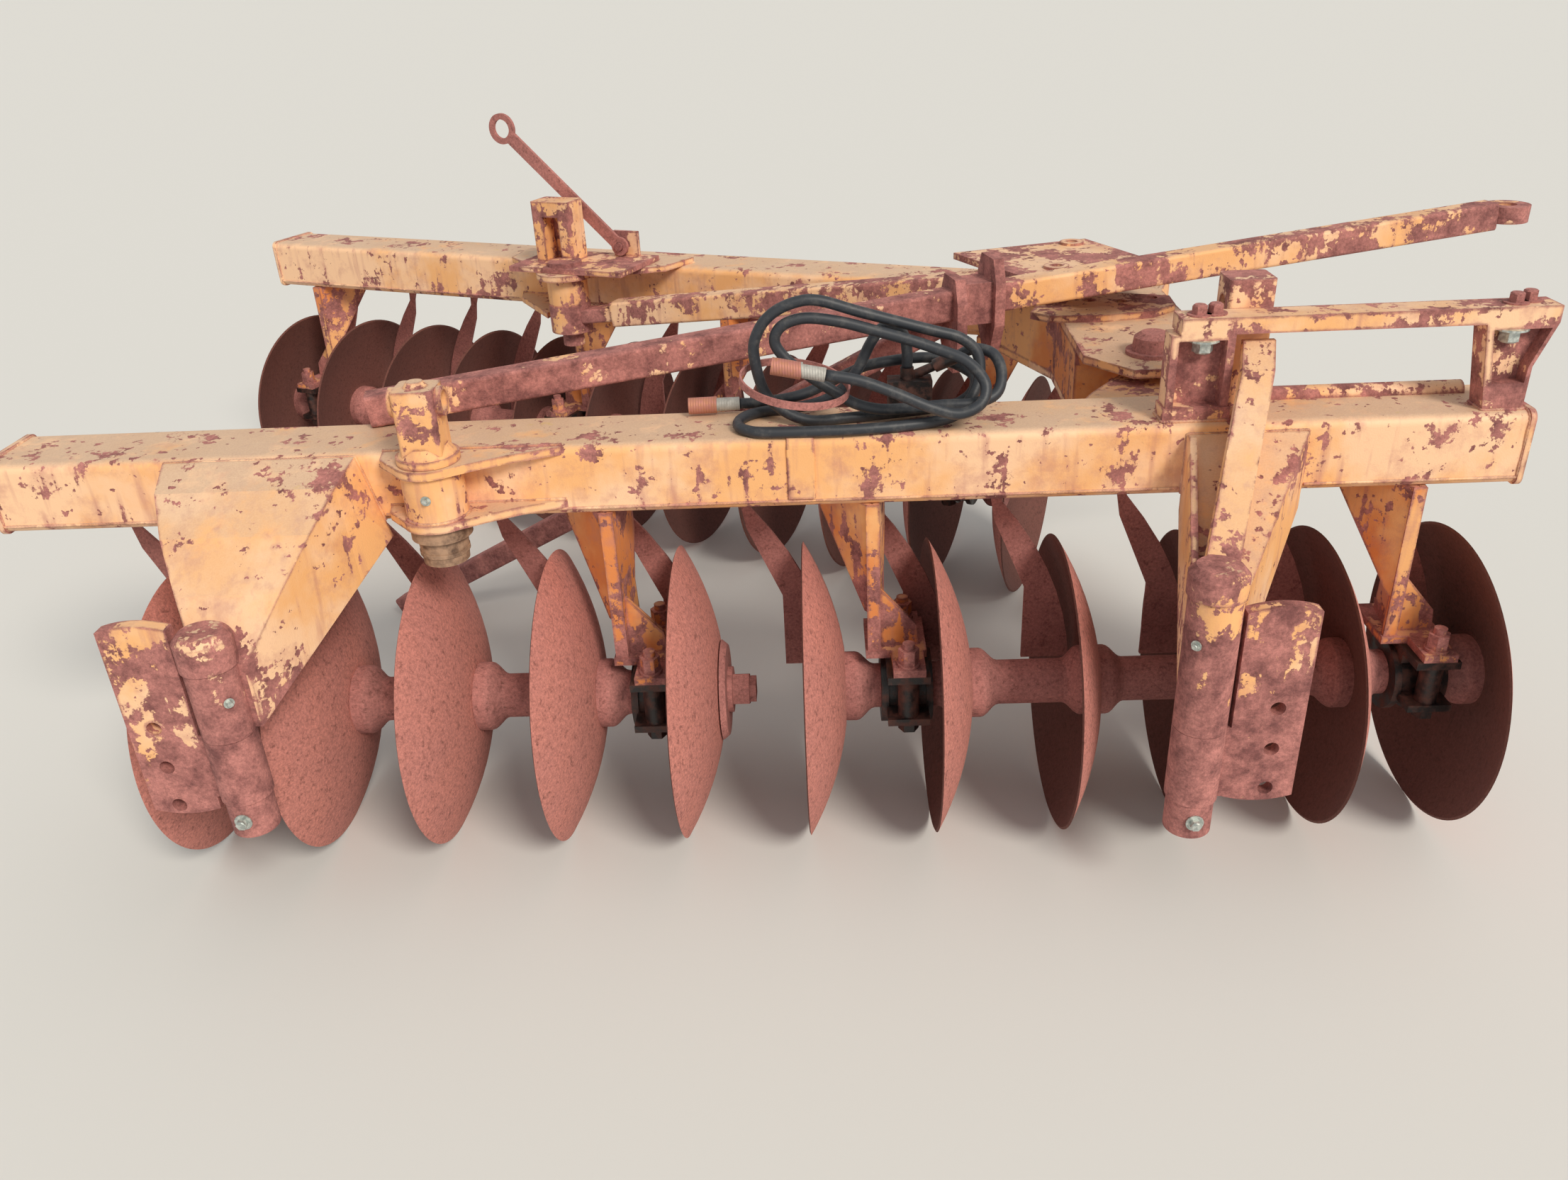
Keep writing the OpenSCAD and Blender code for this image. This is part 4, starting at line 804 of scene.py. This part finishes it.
# In plan: the mast's foot, the top bar's two supports, and the end of the mast's brace
MAST_FOOT = (737, 43, 823, 121)
SUPPORTS = ((619, -25, 743, 30), (1199, -21, 1273, 30))
BRACE = ((764, -28), (779, 6), (793, 6), (779, -28))
# The beam's long seam runs between its caps and the brackets
SEAM_BREAKS = ((-1256, -846), (658, 890))
# The front edge of the beams' flat tops
FRONT_FLAT, REAR_FLAT = -28, -29
# Along the rear beam: the corners of the pivot's plate at the beam and before it, and the plates and seam from x to x
REAR_PIVOT = ((993, 1010), (1567, 1542))
REAR_PIVOT_OUT = -92
REAR_LOWER_PLATE = (994, 1206)
ELBOW = (2590, 2884)
REAR_SEAM = (CAP, 2470)


class HARROW_OT_welds(bpy.types.Operator):
    """Lay the weld beads where brackets, plates and caps join the beams"""

    bl_idname = "harrow.welds"
    bl_label = "Welds"

    def execute(self, context):
        look = context.scene.harrow
        left_cap, right_cap = BEAM_ENDS[0] + CAP, BEAM_ENDS[1] - CAP
        front_lines = [
            *[[at(x, FRONT, z) for x, z in bracket] for bracket in (LEFT_BRACKET, RIGHT_BRACKET)],
            [at(x, FRONT_FLAT, BEAM_TOP) for x in UPPER_PLATE],
            [at(x, FRONT, ON_LOWER_PLATE) for x in LOWER_PLATE],
            *[arc(*BOSS, z, BOSS_BEAD_R, *BOSS_TURN) for z in (ON_LOWER_PLATE, UNDER_UPPER_PLATE)],
            foot_bead(*MAST_FOOT, closed=True),
            *[foot_bead(*foot) for foot in SUPPORTS],
            [at(x, y, ON_TOP) for x, y in BRACE],
            *[ring_round(at, x, BEAM_LOW, BEAM_TOP, FRONT, BACK, BEAM_ROUND) for x in (left_cap, right_cap)],
        ]
        seam_ends = [left_cap, *[x for stop in SEAM_BREAKS for x in stop], right_cap]
        front_lines += [[at(x, FRONT, SEAM) for x in run] for run in zip(seam_ends[::2], seam_ends[1::2])]
        rear_lines = [
            [rear(x, REAR_FLAT, ON_TOP) for x, out in REAR_PIVOT],
            *[[rear(x, REAR_FLAT, ON_TOP), rear(out, REAR_PIVOT_OUT, ON_TOP)] for x, out in REAR_PIVOT],
            [rear(x, -REAR_HALF - 1, ON_TOP + 1) for x in ELBOW],
            [rear(x, -REAR_HALF - 1, ON_LOWER_PLATE) for x in REAR_LOWER_PLATE],
            *[
                ring_round(rear, x, BEAM_LOW, BEAM_TOP, -REAR_HALF, REAR_HALF, BEAM_ROUND)
                for x in (CAP, REAR_LENGTH - CAP)
            ],
            [rear(x, -REAR_HALF, SEAM) for x in REAR_SEAM],
        ]
        tree = weld_tree()
        values = {"Width": look.bead, "Ripple": look.bead, "Finish": bpy.data.materials["faded enamel"]}
        for body, lines in (("front_frame", front_lines), ("rear_frame", rear_lines)):
            name = body + "_welds"
            finished_by(tree, name, lines_mesh(name, lines), values, body)
        return {"FINISHED"}


# Joint strap: a thin plate bent over the beam's front edge, welded round. Its inner face lies 1 mm within the
# beam's, and both faces turn the corner in as many steps
STRAP_X = (-72, -23)
STRAP_T = 5
STRAP_IN = -1
STRAP_BENDS = 6
STRAP_FOOT = 752
STRAP_BACK = 6
# The beads beside the strap, in y and z: up the face, over the round corner and along the top
STRAP_EDGE = ((FRONT - 1, STRAP_FOOT), (FRONT - 1, 856), (-33, 868), (-20, ON_TOP), (STRAP_BACK, ON_TOP))
STRAP_BEAD, STRAP_RIPPLE = 0.005, 0.006


class HARROW_OT_strap(bpy.types.Operator):
    """Bend the joint strap over the front beam's edge"""

    bl_idname = "harrow.strap"
    bl_label = "Joint strap"

    def execute(self, context):
        rows = []
        for out in (STRAP_T, STRAP_IN):
            r = BEAM_ROUND + out
            turns = [math.radians(180 - 90 * i / STRAP_BENDS) for i in range(STRAP_BENDS + 1)]
            middle = [(FRONT + BEAM_ROUND + r * math.cos(a), SHOULDER + r * math.sin(a)) for a in turns]
            rows.append([(FRONT - out, STRAP_FOOT), *middle, (STRAP_BACK, BEAM_TOP + out)])
        outline = rows[0] + rows[1][::-1]
        count = len(outline)
        points = [at(x, y, z) for x in STRAP_X for y, z in outline]
        around = [((i + 1) % count, i, count + i, count + (i + 1) % count) for i in range(count)]
        mesh = bpy.data.meshes.new("joint_strap")
        mesh.from_pydata(points, [], [range(count), range(2 * count - 1, count - 1, -1), *around])
        mesh.materials.append(bpy.data.materials["faded enamel"])
        strap = bpy.data.objects.new("joint_strap", mesh)
        context.collection.objects.link(strap)
        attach(strap, "front_frame")
        lines = [[at(x, y, z) for y, z in STRAP_EDGE] for x in STRAP_X]
        values = {"Width": STRAP_BEAD, "Ripple": STRAP_RIPPLE, "Finish": bpy.data.materials["faded enamel"]}
        finished_by(
            bpy.data.node_groups["weld bead"], "strap_welds", lines_mesh("strap_welds", lines), values,
            "front_frame",
        )
        return {"FINISHED"}


# Stage

# The photo's camera, fitted to the beams' edges and the discs' rims
CAMERA_AT = Vector((0.1743, -3.1191, 1.679))
CAMERA_LENS = 28.19
CAMERA_YAW, CAMERA_PITCH, CAMERA_ROLL = (math.radians(a) for a in (-2.42, 27.62, -2.88))


def photo_camera():
    data = bpy.data.cameras.new("photo_camera")
    data.lens = CAMERA_LENS
    data.sensor_width = 36
    camera = bpy.data.objects.new("photo_camera", data)
    bpy.context.collection.objects.link(camera)
    ahead = Vector(
        (
            math.sin(CAMERA_YAW) * math.cos(CAMERA_PITCH),
            math.cos(CAMERA_YAW) * math.cos(CAMERA_PITCH),
            -math.sin(CAMERA_PITCH),
        )
    )
    level = Vector((math.cos(CAMERA_YAW), -math.sin(CAMERA_YAW), 0))
    upright = level.cross(ahead)
    across = level * math.cos(CAMERA_ROLL) + upright * math.sin(CAMERA_ROLL)
    up = upright * math.cos(CAMERA_ROLL) - level * math.sin(CAMERA_ROLL)
    turn = Matrix((across, up, -ahead)).transposed()
    camera.matrix_world = Matrix.Translation(CAMERA_AT) @ turn.to_4x4()
    bpy.context.scene.camera = camera


# The sun comes from high on the right, before the machine, as soft as through thin cloud
SUN_FROM = (3.4, -5.2, 5.0)
SUN_WIDTH = math.radians(18)
SUN_STRENGTH = 2.5
SKY_STRENGTH = 0.6
BACKDROP_STRENGTH = 0.8
FLOOR_SIZE = 600


class HARROW_OT_stage(bpy.types.Operator):
    """Set the pale floor, the soft light and the camera at the photo's viewing angle"""

    bl_idname = "harrow.stage"
    bl_label = "Stage"

    def execute(self, context):
        photo_camera()
        bpy.ops.mesh.primitive_plane_add(size=FLOOR_SIZE)
        floor = context.active_object
        floor.name = "floor"
        matt, tree = new_material("pale floor")
        shader = add(tree, "ShaderNodeBsdfPrincipled", {"Base Color": rgba("#DDDDDB"), "Roughness": 0.9})
        add(tree, "ShaderNodeOutputMaterial", {"Surface": shader.outputs[0]})
        floor.data.materials.append(matt)
        world = bpy.data.worlds.new("soft sky")
        context.scene.world = world
        world.use_nodes = True
        # What the eye sees past the floor is as bright as the floor
        ray = add(world.node_tree, "ShaderNodeLightPath").outputs
        seen = 0.0
        for kind in ("Is Camera Ray", "Is Glossy Ray", "Is Transmission Ray"):
            seen = add(world.node_tree, "ShaderNodeMath", {0: ray[kind], 1: seen}, operation="MAXIMUM").outputs[0]
        level = add(world.node_tree, "ShaderNodeMapRange", {0: seen, 3: SKY_STRENGTH, 4: BACKDROP_STRENGTH})
        sky = world.node_tree.nodes["Background"]
        sky.inputs["Color"].default_value = rgba("#EDEDEA")
        world.node_tree.links.new(level.outputs[0], sky.inputs["Strength"])
        sun = bpy.data.lights.new("key", "SUN")
        sun.angle = SUN_WIDTH
        sun.energy = SUN_STRENGTH
        sun.color = linear("#FFF7EA")
        key = bpy.data.objects.new("key", sun)
        key.rotation_euler = (-Vector(SUN_FROM)).to_track_quat("-Z", "Y").to_euler()
        context.collection.objects.link(key)
        context.scene.view_settings.view_transform = "Standard"
        return {"FINISHED"}


class HARROW_PT_panel(bpy.types.Panel):
    """Lists the steps that dress the harrow"""

    bl_label = "Disc harrow"
    bl_idname = "HARROW_PT_panel"
    bl_space_type = "VIEW_3D"
    bl_region_type = "UI"
    bl_category = "Harrow"

    def draw(self, context):
        for step in STEPS:
            self.layout.operator(step.bl_idname)
        for name in HarrowFinish.__annotations__:
            self.layout.prop(context.scene.harrow, name)


STEPS = (
    HARROW_OT_stage,
    HARROW_OT_finishes,
    HARROW_OT_hoses,
    HARROW_OT_bolts,
    HARROW_OT_welds,
    HARROW_OT_strap,
)
CLASSES = (HarrowFinish, *STEPS, HARROW_PT_panel)


def register():
    for item in CLASSES:
        bpy.utils.register_class(item)
    bpy.types.Scene.harrow = PointerProperty(type=HarrowFinish)


def unregister():
    del bpy.types.Scene.harrow
    for item in reversed(CLASSES):
        bpy.utils.unregister_class(item)


def main():
    register()
    for step in STEPS:
        family, call = step.bl_idname.split(".")
        getattr(getattr(bpy.ops, family), call)()


if __name__ == "__main__":
    main()
